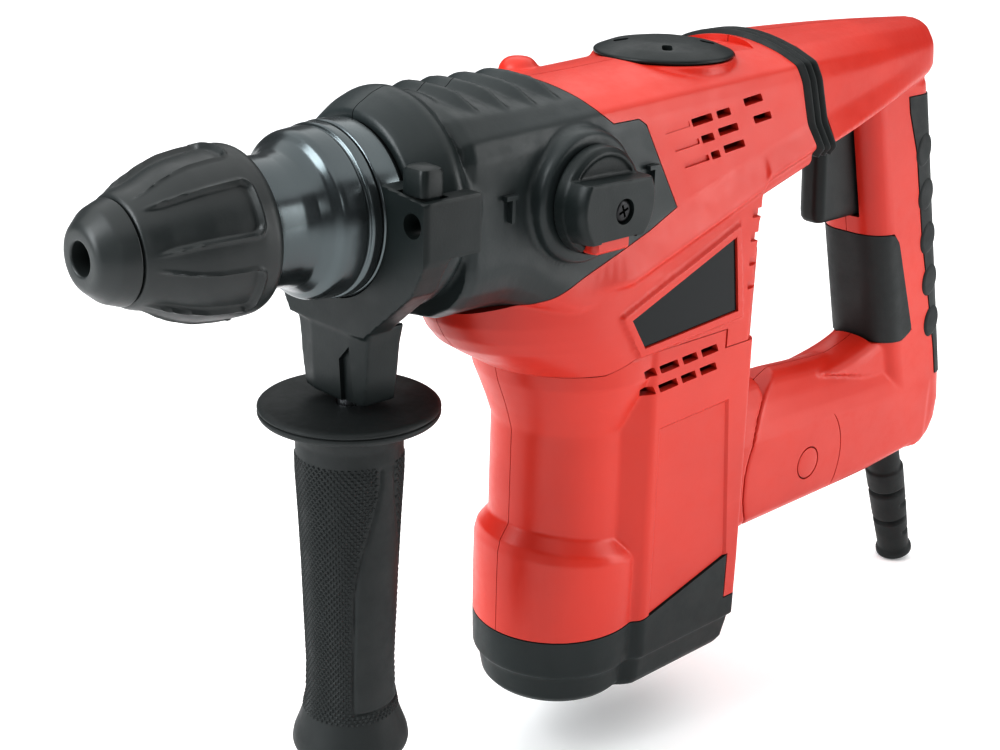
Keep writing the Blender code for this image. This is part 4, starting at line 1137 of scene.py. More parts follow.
def bellows():
    """Three soft folds before the rear handle."""
    rows, outer, inner = [], [], []
    depth = chosen().fold_depth / MM
    for k in range(37):
        s = k / 36
        fold = 0.5 - 0.5 * math.cos(2 * math.pi * 3 * s)
        outer.append((0.35 + 11.8 * s, depth * fold**0.7 - 0.3))
        inner.append((0.35 + 11.8 * s, -3.0 + 1.2 * fold))
    half = body_half(96)
    low = AXIS - 5.5
    half = [(y, max(z, low)) for y, z in half]
    middle = AXIS + 17
    for along, grow in outer + inner[::-1]:
        ring = []
        for y, z in half:
            reach = math.hypot(y, z - middle)
            scale = (reach + grow) / reach
            py, pz = y * scale, middle + (z - middle) * scale
            ring.append((86 + along + REAR_LEAN * (AXIS + 35 - pz), py, pz))
        rows.append(both_sides(ring))
    n = len(rows[0])
    verts = [p for row in rows for p in row]
    faces = []
    for k in range(len(rows)):
        m = (k + 1) % len(rows)
        faces += [(k * n + i, k * n + (i + 1) % n, m * n + (i + 1) % n, m * n + i) for i in range(n)]
    piece = solid("bellows_folds", verts, faces)
    shown(piece, "bellows_folds", None, "soft_rubber", ("bellows",), 60)
    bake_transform(piece)


# ---------------------------------------------------------------- rear handle

GRIP_RAKE = 0.2745  # the grip leans forward by this much for each mm up


def arm_half(x, inset=0.0):
    """Half of the lower arm's section: a crested top that hollows out to upright sides."""
    drop = step01((x - 180) / 55)
    crest = 101.0 - 4.0 * step01((x - 105) / 70)
    ridge = 76.0 - 4 * step01((x - 105) / 100)
    half = [
        (0, crest),
        (4, crest - 0.5),
        (8.5, crest - 3.2),
        (12.5, mix(crest, ridge, 0.42)),
        (15.6, mix(crest, ridge, 0.72)),
        (17.5, ridge),
        (17.5, 42.0 + 2 * drop),
        (14.5, 38.0 + 3 * drop),
        (0, 37.5 + 3 * drop),
    ]
    return eased([(max(y - inset, 0), 66 + (z - 66) * (1 - inset / 30)) for y, z in half], 1.3)


GRIP_FOOT = [(41.5, 218, 238), (45.5, 211, 246.5), (52, 206, 250.5), (62, 203, 251.5), (76, 200, 249)]


def grip(inset=0.0, low=41.0, high=None, grow=0.0):
    high = high or AXIS + 18
    rows = [row for row in GRIP_FOOT if row[0] > low]
    for z in np.linspace(88, high - 10, 12):
        centre = 204.6 - (z - 147) * GRIP_RAKE
        rows.append((float(z), centre - 25, centre + 25))
    centre = 204.6 - (high - 147) * GRIP_RAKE
    rows.append((high, centre - 21, centre + 19, 5))
    rings = []
    for z, front, rear, *narrow in rows:
        thin = narrow[0] if narrow else 0.0
        middle, a = (front + rear) / 2, (rear - front) / 2 - inset + grow
        b = 17 - thin - inset + grow
        r = min(12 - thin, (rear - front) / 2 - 1) - inset * 0.6
        ring = []
        for k, (sx, sy) in enumerate(((1, 1), (-1, 1), (-1, -1), (1, -1))):
            for i in range(9):
                angle = math.radians(90 * (k + i / 8))
                x = middle + sx * (a - r) + r * math.cos(angle)
                ring.append((x, sy * (b - r) + r * math.sin(angle), z))
        rings.append(ring)
    return loft(rings, "grip")


def head_half(x, inset=0.0):
    t = min(1.0, max(0.0, (x - 100) / 122))
    top = mix(AXIS + 37.2, AXIS + 33.0, t**2.2)
    half_w = mix(HALF_W, 11.0, t**1.35)
    side = min(mix(shoulder(100), AXIS + 25.0, t), top - 4.5)
    z_ledge = mix(AXIS + 8.0, AXIS + 22.5, t)
    z_low = z_ledge - mix(11.0, 7.0, t)
    bulge = 3.0 * (1 - t) * (inset == 0)
    half = [
        (0, top - inset),
        (0.31 * half_w, top - 0.9 - inset),
        (0.6 * half_w, top - 3.0 - inset),
        (0.87 * half_w - inset, side - inset),
        (0.935 * half_w - inset, side - mix(6, 1.5, t)),
        (0.97 * half_w - inset, z_ledge),
        (half_w + bulge - inset, z_low),
        (0.97 * half_w - inset, z_low - 2 + inset * 0.5),
        (0.5 * half_w, z_low - 4 + inset),
        (0, z_low - 4 + inset),
    ]
    return eased([(max(y, 0), z) for y, z in half], 1.3)


PAD_REGION = [(191, 99.5), (176, 152), (190, 152), (194.6, 147.5), (213, 103), (206, 99.5)]


def strip_region(grow=0.0):
    edge = [(190, 213), (192, 206), (201, 187), (213, 147), (234, 90), (238, 76)]
    return widened(edge + [(300, 76), (300, 213)], grow)


def rear_handle():
    rings = []
    for x in list(np.linspace(96, 206, 23)) + [212, 215, 217, 218.6, 219.6]:
        x = float(x)
        shrink = math.sqrt(max(0.25, 1 - (max(0.0, x - 208) / 12.5) ** 2))
        rings.append(
            both_sides([(x, y * shrink, AXIS + 24 + (z - AXIS - 24) * shrink) for y, z in head_half(x)])
        )
    head = loft(rings, "head")
    arm_xs = [95.6, 99, 103, 108, 114, 120, 130, 145, 160, 175, 190, 205, 220, 234]
    arm = loft([both_sides([(x, y, z) for y, z in arm_half(x)]) for x in arm_xs])
    corner = block((60, -40, 0), (PIVOT[0], 40, 130))
    carve(corner, rod(44.6, -50, 50, "Y", ON_PIVOT, 160))
    carve(arm, corner)
    rings = []
    for k in range(15):
        t = k / 14
        start, bend, end = Vector((148, 94.5)), Vector((180, 97)), Vector((193, 103))
        crest = start * (1 - t) ** 2 + bend * 2 * t * (1 - t) + end * t * t
        deep = Vector((207, 82))
        half = []
        for y, reach in (
            (0, 1.0),
            (4, 0.99),
            (7.5, 0.965),
            (10.5, 0.91),
            (12.6, 0.82),
            (13.6, 0.7),
            (13.6, 0.2),
            (0, 0.12),
        ):
            point = deep.lerp(crest, reach)
            half.append((point.x, y, point.y))
        rings.append(both_sides(half))
    web = loft(rings, "web")
    shell = weld("handle_shell", [head, grip(), arm, web], 0.85, 6)
    lean = [(86 + 13.0 + REAR_LEAN * (AXIS + 35 - z), z) for z in (AXIS - 40, AXIS + 60)]
    carve(shell, slab([(-200, AXIS - 40)] + lean + [(-200, AXIS + 60)], "Y", -80, 80))
    carve(shell, grip(4.5, 50, AXIS + 10))
    carve(
        shell,
        loft(
            [
                both_sides([(x, y, z) for y, z in head_half(x, WALL)])
                for x in (90, 120, 145, 170, 190, 203)
            ],
        ),
    )
    carve(
        shell,
        loft([both_sides([(x, y, z) for y, z in arm_half(x, WALL)]) for x in (80, 130, 180, 230)]),
    )
    carve(shell, block((120, -7.1, 160.2), (192, 7.1, 204.6)), rod(4.4, -60, 60, "Y", ON_PIVOT, 32))
    carve(shell, slanted([(-14, 0), (-14, 8.6), (30, 8.6), (30, 0)]))
    for region in (widened(PAD_REGION, 0.3), strip_region(0.3)):
        carve(shell, carve(slab(region, "Y", -60, 60), grip(1.9)))
    for side in (-1, 1):
        groove = spun([(14.9, 6.9), (14.9, 7.6), (20, 7.6), (20, 6.9)], "Y", ON_PIVOT, 64)
        if side > 0:
            carve(shell, groove)
        else:
            for vertex in groove.data.vertices:
                vertex.co.y *= -1
            groove.data.flip_normals()
            carve(shell, groove)
        seam = []
        for i in range(15):
            a = math.radians(-42 + 84 * i / 14)
            seam.append((PIVOT[0] - 8 + 32 * math.cos(a), PIVOT[1] + 30 * math.sin(a)))
        seam += [(x + 0.6, z) for x, z in reversed(seam)]
        carve(shell, slab(seam, "Y", side * 16.9, side * 20))
    carve(shell, block((60, -0.15, 0), (300, 0.15, 300)))
    shown(
        shell,
        "handle_shell",
        "rear_handle",
        "red_plastic",
        ("handle_shell_left", "handle_shell_right"),
    )
    pin = spun(
        eased(
            [
                (-17.6, 0),
                (-17.6, 6.2),
                (-16.9, 6.6),
                (-14, 6.6),
                (-14, 4),
                (14, 4),
                (14, 6.6),
                (16.9, 6.6),
                (17.6, 6.2),
                (17.6, 0),
            ],
            0.3,
        ),
        "Y",
        ON_PIVOT,
        64,
    )
    shown(pin, "pivot_cover", "housing", "red_plastic", ("pivot_pin",))


def soft_grips():
    pad = keep(
        weld("palm_pad", [grip(grow=0.35)], 0.8, 4), slab(eased(PAD_REGION, 2.5, 4, True), "Y", -60, 60)
    )
    carve(pad, grip(1.8))
    shown(pad, "palm_pad", "rear_handle", "soft_rubber", ("front_grip_pad",))
    strip = keep(weld("back_strip", [grip(grow=0.35)], 0.8, 4), slab(strip_region(), "Y", -60, 60))
    carve(strip, grip(1.8))
    shown(strip, "back_strip", "rear_handle", "soft_rubber", ("rear_grip_strip",))
    for side in (-1, 1):
        tab = spun(eased([(0, 0), (0, 6.4), (2.4, 6.2), (3.1, 5.0), (3.3, 0)], 0.6), "Y", (0, 0, 0), 40)
        for vertex in tab.data.vertices:
            x, y, z = vertex.co
            vertex.co = (x * 0.9 + 206.0 * MM, side * (y + 14.8 * MM), z * 1.25 + 188 * MM)
        if side < 0:
            tab.data.flip_normals()
        repeated(tab, 5, step=(5.75, 0, -21), finish="soft_rubber")
        shown(
            tab,
            "strip_tabs_" + ("left" if side < 0 else "right"),
            "rear_handle",
            "soft_rubber",
        )


def trigger():
    rings = []
    for z, thin in ((161, 2.2), (161.6, 1.0), (163, 0.2), (166, 0), (204, 0)):
        front = 144.2 + (204 - z) * 0.09
        outline = [
            (front + 2.5, -6.2 + thin),
            (front, -3),
            (front, 3),
            (front + 2.5, 6.2 - thin),
            (185, 6.2 - thin),
            (185, -6.2 + thin),
        ]
        rings.append([(x + thin, y, z) for x, y in eased(outline, 1.6, 4, True)])
    shown(
        loft(rings), "trigger_blade", "trigger_group", "black_plastic", ("trigger",), 40
    )


def slanted(profile, relief=None, steps=48):
    """A turned piece on the leaning axis of the cord's strain relief."""
    piece = spun(profile, "Z", (0, 0, 0), steps, relief)
    place = Matrix.Translation(Vector((226, 0, 38)) * MM) @ Matrix.Rotation(math.radians(-19.5), 4, "Y")
    piece.data.transform(place)
    return piece


def cord_sleeve():
    profile = eased(
        [
            (8, 4),
            (8, 8),
            (-13.6, 8),
            (-14.6, 9.2),
            (-40, 8.6),
            (-64, 7.6),
            (-65.4, 8.8),
            (-68, 8.8),
            (-68, 4),
        ],
        0.8,
        3,
        True,
    )

    def notches(along, angles, radius):
        if radius < 6 or not -60 < along < -15:
            return 0 * angles
        cut = np.zeros_like(angles)
        for at, facing in ((-27, math.pi), (-36, 0), (-45, math.pi), (-54, 0)):
            turn = np.abs((angles - facing + math.pi) % (2 * math.pi) - math.pi)
            cut -= 2.4 * max(0.0, 1 - (abs(along - at) / 1.5) ** 2) * np.clip((1.9 - turn) / 0.5, 0, 1)
        return cut

    piece = slanted(split_long(profile, 0.7), notches, 72)
    shown(piece, "cord_sleeve", "rear_handle", "soft_rubber", ("cord_boot",), 50)


# ---------------------------------------------------------------- chuck and side handle


def chuck():
    nose = [
        (NOSE, 5.1),
        (NOSE, 8.6),
        (NOSE + 0.8, 10.2),
        (NOSE + 2.4, 11.6),
        (-197.5, 14.2),
        (-192.3, 16.1),
        (-192.0, 15.6),
        (-192.0, 9.0),
        (-194, 5.1),
    ]
    shown(
        spun(eased(nose, 0.9, 4, True), "X", ON_AXIS, 128),
        "nose_cap",
        "spindle_group",
        "chuck_rubber",
        ("chuck_cap",),
        50,
    )
    profile = [
        (-191.5, 11.2),
        (-191.5, 16.5),
        (-187, 18.6),
        (-182, 21.2),
        (-176.5, 23.5),
        (-171.5, 24.9),
        (-164, 25.9),
        (-157, 26.5),
        (-152, 26.4),
        (-149.8, 25.4),
        (-149.6, 21.6),
        (-158.5, 21.6),
        (-159.5, 15.3),
        (-177.7, 15.3),
        (-181.7, 11.2),
    ]

    depth = chosen().panel_depth / MM

    def panels(along, angles, radius):
        """Six recessed finger panels with a raised rim, closed and rounded towards the rear."""
        if radius < 16.6 or not -190 < along < -153.5:
            return 0 * angles
        pitch = math.pi / 3
        turn = (angles + math.pi / 2 + pitch / 2) % pitch - pitch / 2
        across = np.abs(turn) * radius
        half = 6.6 + 0.055 * (along + 190)
        q = np.maximum(np.stack([across - half + 3, np.full_like(across, along + 157.5 + 3)]), 0)
        gap = np.hypot(q[0], q[1]) + np.minimum(np.maximum(across - half + 3, along + 160.5), 0) - 3
        fade = step01((along + 190) / 8)
        inside = 1 / (1 + np.exp(gap / 0.22))
        rim = np.exp(-((gap - 0.5) / 0.55) ** 2)
        return fade * (0.75 * rim - depth * inside)

    dense = split_long(eased(profile, 1.3, 4, True), 0.45)
    shown(
        spun(dense, "X", ON_AXIS, 288, panels),
        "grip_sleeve",
        "sleeve",
        "chuck_rubber",
        ("chuck_sleeve",),
        60,
    )


def side_clamp():
    plate = [
        (29, -24),
        (21, -39.5),
        (-17, -39.5),
        (-40, -20),
        (-46, -9),
        (-46, 10.6),
        (-24, 13.2),
        (-24, 0),
        (29, 0),
    ]
    saddle = slab([(y, z + AXIS) for y, z in plate], "X", -113.4, -103)
    boss = block((-112, -46.4, AXIS - 8), (-89.6, -38, AXIS + 11))
    stem_rings = []
    for z, a, b in (
        (146.2, 11.6, 15.5), (AXIS - 55, 12, 16.6), (AXIS - 44, 12.4, 17.6), (AXIS - 37, 13, 19)
    ):
        outline = [
            (-a, -b * 0.55),
            (-a * 0.55, -b),
            (a * 0.55, -b),
            (a, -b * 0.55),
            (a, b * 0.55),
            (a * 0.55, b),
            (-a * 0.55, b),
            (-a, b * 0.55),
        ]
        stem_rings.append([(max(HANDLE_X + x, -113.0), y, z) for x, y in outline])
    stem = loft(stem_rings)
    clamp = weld("clamp_block", [saddle, boss, stem], 0.6, 3)
    seat = rod(28.9, -130, -80, "X", ON_AXIS, 128)
    clear = rod(41.0, -104.2, -60, "X", ON_AXIS, 128)
    stop = rod(4.0, -130, -60, "X", (0, STOP_Y, AXIS + 3), 48)
    bolt = rod(4.4, 100, AXIS - 25, "Z", (HANDLE_X, 0, 0), 32)
    well = block((-112.2, -44.0, AXIS + 8.3), (-101.6, -32.0, AXIS + 40))
    nick = slab([(-9.5, 166), (-4.5, 160.5), (-5.8, 143), (-12, 143)], "X", -118, -111.4)
    carve(clamp, seat, clear, stop, bolt, well, nick)
    shown(clamp, "clamp_block", "side_clamp", "black_plastic", ("clamp_saddle",))
    band_profile = eased(
        [
            (-113.8, 27.3),
            (-113.8, 28.0),
            (-113.2, 28.6),
            (-105.2, 28.6),
            (-104.7, 28.0),
            (-104.7, 27.3),
        ],
        0.4,
        3,
        True,
    )
    shown(
        spun(band_profile, "X", ON_AXIS, 160),
        "band_strap",
        "side_clamp",
        "gloss_metal",
        ("clamp_band",),
    )
    rings = []
    for z, thin in ((AXIS + 11.6, 0), (AXIS + 18.6, 0), (AXIS + 19.9, 0.5), (AXIS + 20.5, 1.6)):
        low, high = (-111.5 + thin, -43.3 + thin), (-102.3 - thin, -32.7 - thin)
        outline = [low, (high[0], low[1]), high, (low[0], high[1])]
        rings.append([(x, y, z) for x, y in eased(outline, 2.4, 5, True)])
    shown(
        loft(rings),
        "thumb_button",
        "stop_button",
        "black_plastic",
        ("depth_stop_button",),
        40,
    )


GRIP_PROFILE = [
    (10.2, 0),
    (10.2, 18.6),
    (11.4, 20.3),
    (13.6, 20.9),
    (17.0, 20.3),
    (22, 18.4),
    (27, 16.7),
    (33, 15.6),
    (45, 15.3),
    (60, 15.8),
    (84, 16.6),
    (102, 17.4),
    (118, 18.3),
    (130, 18.4),
    (134.5, 20.2),
    (137.0, 25.5),
    (138.0, 30.0),
    (139.2, 30.9),
    (140.2, 30.9),
    (140.6, 29.9),
    (141.0, 30.9),
    (141.8, 30.9),
    (142.8, 29.6),
    (142.6, 24),
    (142.4, 4.3),
    (31, 4.3),
    (31, 0),
]


def inlay(along, turn, radius):
    """Signed distance in mm to the smooth inlay that runs down the side of the grip."""
    centre = 0.10
    half = mix(10.6, 2.6, step01((along - 76) / 46))
    across = np.abs(turn - centre) * radius - half
    return np.maximum(across, max(along - 123, 31 - along))


def side_grip():
    def skin(along, angles, radius):
        if radius < 14 or not 22 < along < 134:
            return 0 * angles
        out = np.zeros_like(angles)
        for facing in (-math.pi / 2, math.pi / 2):
            turn = (angles - facing + math.pi) % (2 * math.pi) - math.pi
            gap = inlay(along, turn, radius)
            raised = 0.35 / (1 + np.exp(np.clip(gap / 0.25, -40, 40)))
            groove = 0.5 * np.exp(-(((gap - 0.6) / 0.5) ** 2))
            out += raised - groove
        return out

    piece = spun(split_long(eased(GRIP_PROFILE, 0.9, 3), 0.9, False), "Z", (HANDLE_X, 0, 0), 180, skin)
    shown(piece, "side_grip_moulding", "side_handle", "soft_rubber", ("side_grip",), 50)
    zs, rs = zip(*GRIP_PROFILE[5:14])
    verts, normals = [], []
    count = 54
    for row in range(82):
        z = 27 + row * 1.2
        r = float(np.interp(z, zs, rs))
        for k in range(count):
            a = 2 * math.pi * (k + 0.5 * (row % 2)) / count
            clear = 9.0
            for facing in (-math.pi / 2, math.pi / 2):
                turn = (a - facing + math.pi) % (2 * math.pi) - math.pi
                clear = min(clear, float(inlay(z, np.array([turn]), r)[0]))
            if clear > 1.6:
                verts.append((HANDLE_X + (r - 0.02) * math.cos(a), (r - 0.02) * math.sin(a), z))
                normals.append((math.cos(a), math.sin(a)))
    mesh = bpy.data.meshes.new("grip_knurl")
    mesh.from_pydata([(x * MM, y * MM, z * MM) for x, y, z in verts], [], [])
    facing = mesh.attributes.new("facing", "FLOAT_VECTOR", "POINT")
    for item, (nx, ny) in zip(facing.data, normals):
        item.vector = (nx, ny, 0)
    patch = bpy.data.objects.new("grip_knurl", mesh)
    BENCH.objects.link(patch)
    grown(
        patch,
        stud_tree(),
        Width=chosen().knurl_width,
        Height=chosen().knurl_height,
        Finish=material("soft_rubber"),
    )
    shown(patch, "grip_knurl", "side_handle", "soft_rubber", (), 20)


# ---------------------------------------------------------------- mode dial


def mode_dial():
    at = (DIAL_X, 0, DIAL_Z)
    face = -40.3
    profile = [
        (face - 5.8, 0),
        (face - 5.8, 17.2),
        (face - 5.0, 18.3),
        (face - 0.2, 18.6),
        (face - 0.1, 5),
        (-30.6, 5),
        (-30.6, 0),
    ]
    knob = spun(eased(profile, 0.6), "Y", at, 128)
    bar_outline = [(-30, -11.6), (30, -11.6), (30, 7.6), (-30, 9.4)]
    bar = slab([(DIAL_X + x, DIAL_Z + z) for x, z in bar_outline], "Y", face - 13.6, face - 2)
    keep(
        bar,
        spun(
            eased(
                [
                    (face - 13.8, 0),
                    (face - 13.8, 16.9),
                    (face - 11, 18.0),
                    (face - 1, 18.2),
                    (face - 1, 0),
                ],
                1.2,
            ),
            "Y",
            at,
            128,
        ),
    )
    rim = spun(
        [(face - 6.3, 15.6), (face - 6.3, 16.9), (face - 4, 17.2), (face - 4, 15.6)], "Y", at, 128
    )
    knob = weld("dial_knob", [knob, bar, rim], 0.45, 3)
    hole = rod(4.4, face - 30, face - 10.8, "Y", (DIAL_X + 2, 0, DIAL_Z - 2), 48)
    well = block((DIAL_X - 8.6, face - 20, DIAL_Z - 16.6), (DIAL_X + 8.6, face - 2.4, DIAL_Z - 10.9))
    carve(knob, hole, well)
    shown(knob, "dial_knob", "knob", "black_plastic", ("mode_knob",))
    head = spun(
        eased(
            [
                (face - 13.0, 0),
                (face - 13.0, 3.0),
                (face - 12.2, 4.0),
                (face - 10.6, 4.1),
                (face - 10.6, 0),
            ],
            0.6,
        ),
        "Y",
        (DIAL_X + 2, 0, DIAL_Z - 2),
        64,
    )
    for angle in (20, 110):
        c, s = math.cos(math.radians(angle)), math.sin(math.radians(angle))
        cross = [
            (a * c - b * s, a * s + b * c)
            for a, b in ((-2.3, -0.42), (2.3, -0.42), (2.3, 0.42), (-2.3, 0.42))
        ]
        carve(
            head,
            slab([(DIAL_X + 2 + x, DIAL_Z - 2 + z) for x, z in cross], "Y", face - 16, face - 11.4),
        )
    shown(head, "dial_screw", "knob", "screw_black", ("knob_screw",))
    tab = []
    for y, thin in ((face - 11.2, 0.9), (face - 10.4, 0.2), (face - 8, 0), (face - 5, 0)):
        low, high = (DIAL_X - 8.2 + thin, DIAL_Z - 16.2 + thin), (DIAL_X + 8.2 - thin, DIAL_Z - 11.1)
        tab.append(
            [
                (x, y, z)
                for x, z in eased([low, (high[0], low[1]), high, (low[0], high[1])], 0.9, 3, True)
            ],
        )
    shown(loft(tab), "lock_tab", "knob_lock", "red_plastic", ("knob_lock_button",), 40)


# ---------------------------------------------------------------- CAD pieces that stay


INSIDE = {
    "ground_steel": (
        "armature_shaft motor_pinion crank_gear idler_gear spindle spindle_gear impact_bolt striker "
        "piston wrist_pin connecting_rod lower_bearing upper_bearing front_bearing rear_bearing "
        "crank_bearing "
        "damper_guide handle_bolt"
    ),
    "sheet_stack": "stator armature_core",
    "copper_bar": "commutator",
    "brass_sheet": "brush_holder_front brush_holder_rear",
    "carbon_block": "carbon_brush_front carbon_brush_rear",
    "black_plastic": "cooling_fan switch_body damper_seat",
}


def coil(name, node, turns, wire):
    """A compression spring along X that fills the box of the CAD spring."""
    low, high = (Vector(corner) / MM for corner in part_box(node))
    radius = (high.z - low.z) / 2 - wire
    _, y, z = (low + high) / 2
    rings = []
    count = turns * 28
    for i in range(count + 1):
        angle = 2 * math.pi * turns * i / count
        x = mix(low.x + wire, high.x - wire, i / count)
        ring = []
        for k in range(12):
            b = 2 * math.pi * k / 12
            r = radius + wire * math.cos(b)
            ring.append((x + wire * math.sin(b), y + r * math.cos(angle), z + r * math.sin(angle)))
        rings.append(ring)
    return loft(rings, name)


def springs():
    """The three springs, each a coil in the box of its CAD spring, on one body."""
    jobs = (
        ("sleeve_spring", 4, 0.8, "spindle_group", "chuck_sleeve_slide", "high", 0.42),
        ("trigger_spring", 4, 0.55, "rear_handle", "trigger_pull", "high", 0.36),
        ("damper_spring", 7, 1.0, "housing", "rear_handle_damping", "low", 0.82),
    )
    for node, turns, wire, body_name, joint, end, share in jobs:
        low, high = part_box(node)
        anchor = [(a + b) / 2 for a, b in zip(low, high)]
        anchor[0] = (high if end == "high" else low)[0]
        spring = coil(node + "_coil", node, turns, wire)
        shown(spring, node + "_coil", body_name, "ground_steel", (node,), 50)
        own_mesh(spring)


def inner_parts():
    for finish, names in INSIDE.items():
        for name in names.split():
            slots = frame["nodes"][name].material_slots
            for socket in slots:
                socket.link = "OBJECT"
                socket.material = material(finish)


# ---------------------------------------------------------------- studio


def area_light(name, at, look, size, power, colour=(1, 1, 1)):
    data = bpy.data.lights.new(name, "AREA")
    data.shape = "RECTANGLE"
    data.size, data.size_y = size
    data.energy = power
    data.color = colour
    lamp = bpy.data.objects.new(name, data)
    bpy.context.scene.collection.objects.link(lamp)
    lamp.location = at
    lamp.rotation_euler = (Vector(look) - Vector(at)).to_track_quat("-Z", "Y").to_euler()


def studio(floor_tone, key_power, fill_power, lens):
    scene = bpy.context.scene
    ground = CAD_BOX[0][2] - 0.0006
    size = 12.0
    mesh = bpy.data.meshes.new("studio_floor")
    mesh.from_pydata(
        [(-size, -size, ground), (size, -size, ground), (size, size, ground), (-size, size, ground)],
        [],
        [(0, 1, 2, 3)],
    )
    floor = bpy.data.objects.new("studio_floor", mesh)
    scene.collection.objects.link(floor)
    paper = bpy.data.materials.new("pale_paper")
    paper.use_nodes = True
    nodes, link = paper.node_tree.nodes, paper.node_tree.links.new
    shader = nodes["Principled BSDF"]
    where = nodes.new("ShaderNodeTexCoord").outputs["Object"]
    tone = spread(nodes, link, noise(nodes, link, where, 3.0), 0.3, 0.7)
    link(
        shaded(nodes, link, tone, (floor_tone,) * 3, (floor_tone * 0.985,) * 3),
        shader.inputs["Base Color"],
    )
    shader.inputs["Roughness"].default_value = 0.9
    shader.inputs["Specular IOR Level"].default_value = 0.1
    shader.inputs["Emission Color"].default_value = (1.0, 1.0, 1.0, 1.0)
    shader.inputs["Emission Strength"].default_value = 0.14
    mesh.materials.append(paper)
    world = bpy.data.worlds.new("studio_air")
    scene.world = world
    world.use_nodes = True
    air = world.node_tree.nodes["Background"]
    air.inputs["Color"].default_value = (0.93, 0.96, 1.0, 1.0)
    air.inputs["Strength"].default_value = 0.12
    area_light("ceiling", (0.9, 1.0, 2.7), (0.9, 1.0, 0), (6.5, 6.5), key_power * 6.2)
    area_light("side_softbox", (0.85, -0.95, 0.45), (0.05, 0, 0.14), (0.5, 0.9), key_power * 0.22)
    area_light(
        "left_softbox", (-1.15, 0.3, 0.8), (-0.08, 0, 0.17), (0.6, 1.0), fill_power, (0.95, 0.98, 1.0)
    )
    area_light("front_fill", (-0.75, -1.1, 0.7), (-0.03, 0, 0.16), (0.35, 0.35), fill_power * 0.05)
    camera_data = bpy.data.cameras.new("studio_camera")
    camera_data.lens = lens
    camera_data.sensor_width = 36.0
    camera_data.clip_start = 0.01
    camera = bpy.data.objects.new("studio_camera", camera_data)
    scene.collection.objects.link(camera)
    azimuth, elevation, roll = (math.radians(v) for v in (-44.575, 20.360, 1.661))
    back = Vector(
        (
            math.sin(azimuth) * math.cos(elevation),
            -math.cos(azimuth) * math.cos(elevation),
            math.sin(elevation),
        ),
    )
    right = Vector((0, 0, 1)).cross(back).normalized()
    up = back.cross(right)
    right2 = right * math.cos(roll) + up * math.sin(roll)
    up2 = up * math.cos(roll) - right * math.sin(roll)
    turn = Matrix((right2, up2, back)).transposed().to_4x4()
    camera.matrix_world = Matrix.Translation((-0.44159, -0.41315, 0.35010)) @ turn
    scene.camera = camera
    scene.view_settings.view_transform = "Standard"
    scene.view_settings.exposure = 0.45
    scene.view_settings.gamma = 0.78


# ---------------------------------------------------------------- add-on


class HammerSettings(bpy.types.PropertyGroup):
    """What a user may change before the pieces are built."""

    shell_colour: bpy.props.FloatVectorProperty(
        name="Shell colour",
        description="Colour of the red shells",
        default=(0.60, 0.036, 0.016),
        min=0.0,
        max=1.0,
        subtype="COLOR",
    )
    shell_shade: bpy.props.FloatVectorProperty(
        name="Shell shade",
        description="Darker tone that drifts over the red shells",
        default=(0.53, 0.027, 0.012),
        min=0.0,
        max=1.0,
        subtype="COLOR",
    )
    trim_colour: bpy.props.FloatVectorProperty(
        name="Trim colour",
        description="Colour of the black plastic",
        default=(0.014, 0.020, 0.020),
        min=0.0,
        max=1.0,
        subtype="COLOR",
    )
    trim_shade: bpy.props.FloatVectorProperty(
        name="Trim shade",
        description="Darker tone that drifts over the black plastic",
        default=(0.008, 0.012, 0.012),
        min=0.0,
        max=1.0,
        subtype="COLOR",
    )
    knurl_width: bpy.props.FloatProperty(
        name="Knurl width",
        description="Width of a stud on the side grip",
        default=0.00175,
        min=0.0005,
        precision=5,
        unit="LENGTH",
    )
    knurl_height: bpy.props.FloatProperty(
        name="Knurl height",
        description="Height of a stud on the side grip",
        default=0.00045,
        min=0.0001,
        precision=5,
        unit="LENGTH",
    )
    panel_depth: bpy.props.FloatProperty(
        name="Panel depth",
        description="Depth of the finger panels in the chuck sleeve",
        default=0.0015,
        min=0.0,
        precision=4,
        unit="LENGTH",
    )
    fold_depth: bpy.props.FloatProperty(
        name="Fold depth",
        description="Depth of the folds in the bellows",
        default=0.0022,
        min=0.0,
        precision=4,
        unit="LENGTH",
    )
    floor_tone: bpy.props.FloatProperty(
        name="Floor tone",
        description="Brightness of the paper floor",
        default=0.92,
        min=0.1,
        max=1.0,
        subtype="FACTOR",
    )
    key_power: bpy.props.FloatProperty(
        name="Key light",
        description="Power of the light overhead",
        default=26.0,
        min=0.0,
        unit="POWER",
    )
    fill_power: bpy.props.FloatProperty(
        name="Fill light",
        description="Power of the light at the chuck's side",
        default=15.0,
        min=0.0,
        unit="POWER",
    )
    lens: bpy.props.FloatProperty(
        name="Lens",
        description="Focal length of the camera",
        default=61.2,
        min=10.0,
        subtype="DISTANCE_CAMERA",
    )


class HAMMER_OT_gear_case(bpy.types.Operator):
    """Coated metal gear case with its lip, ribs and dial boss"""

    bl_idname = "hammer.gear_case"
    bl_label = "Gear case"

    def execute(self, context):
        gear_case_shell()
        return {"FINISHED"}


class HAMMER_OT_upper_shell(bpy.types.Operator):
    """Upper red shell with its ledge, vents and blank label"""

    bl_idname = "hammer.upper_shell"
    bl_label = "Upper shell"

    def execute(self, context):
        upper_shell()
        return {"FINISHED"}


class HAMMER_OT_motor_shell(bpy.types.Operator):
    """Motor shell and the boot under it"""

    bl_idname = "hammer.motor_shell"
    bl_label = "Motor shell"

    def execute(self, context):
        motor_shell_and_boot()
        return {"FINISHED"}


class HAMMER_OT_vent_cap(bpy.types.Operator):
    """Slotted cap over the grease port"""

    bl_idname = "hammer.vent_cap"
    bl_label = "Vent cap"

    def execute(self, context):
        vent_cap()
        return {"FINISHED"}


class HAMMER_OT_neck(bpy.types.Operator):
    """Turned neck behind the chuck"""

    bl_idname = "hammer.neck"
    bl_label = "Neck"

    def execute(self, context):
        neck()
        return {"FINISHED"}


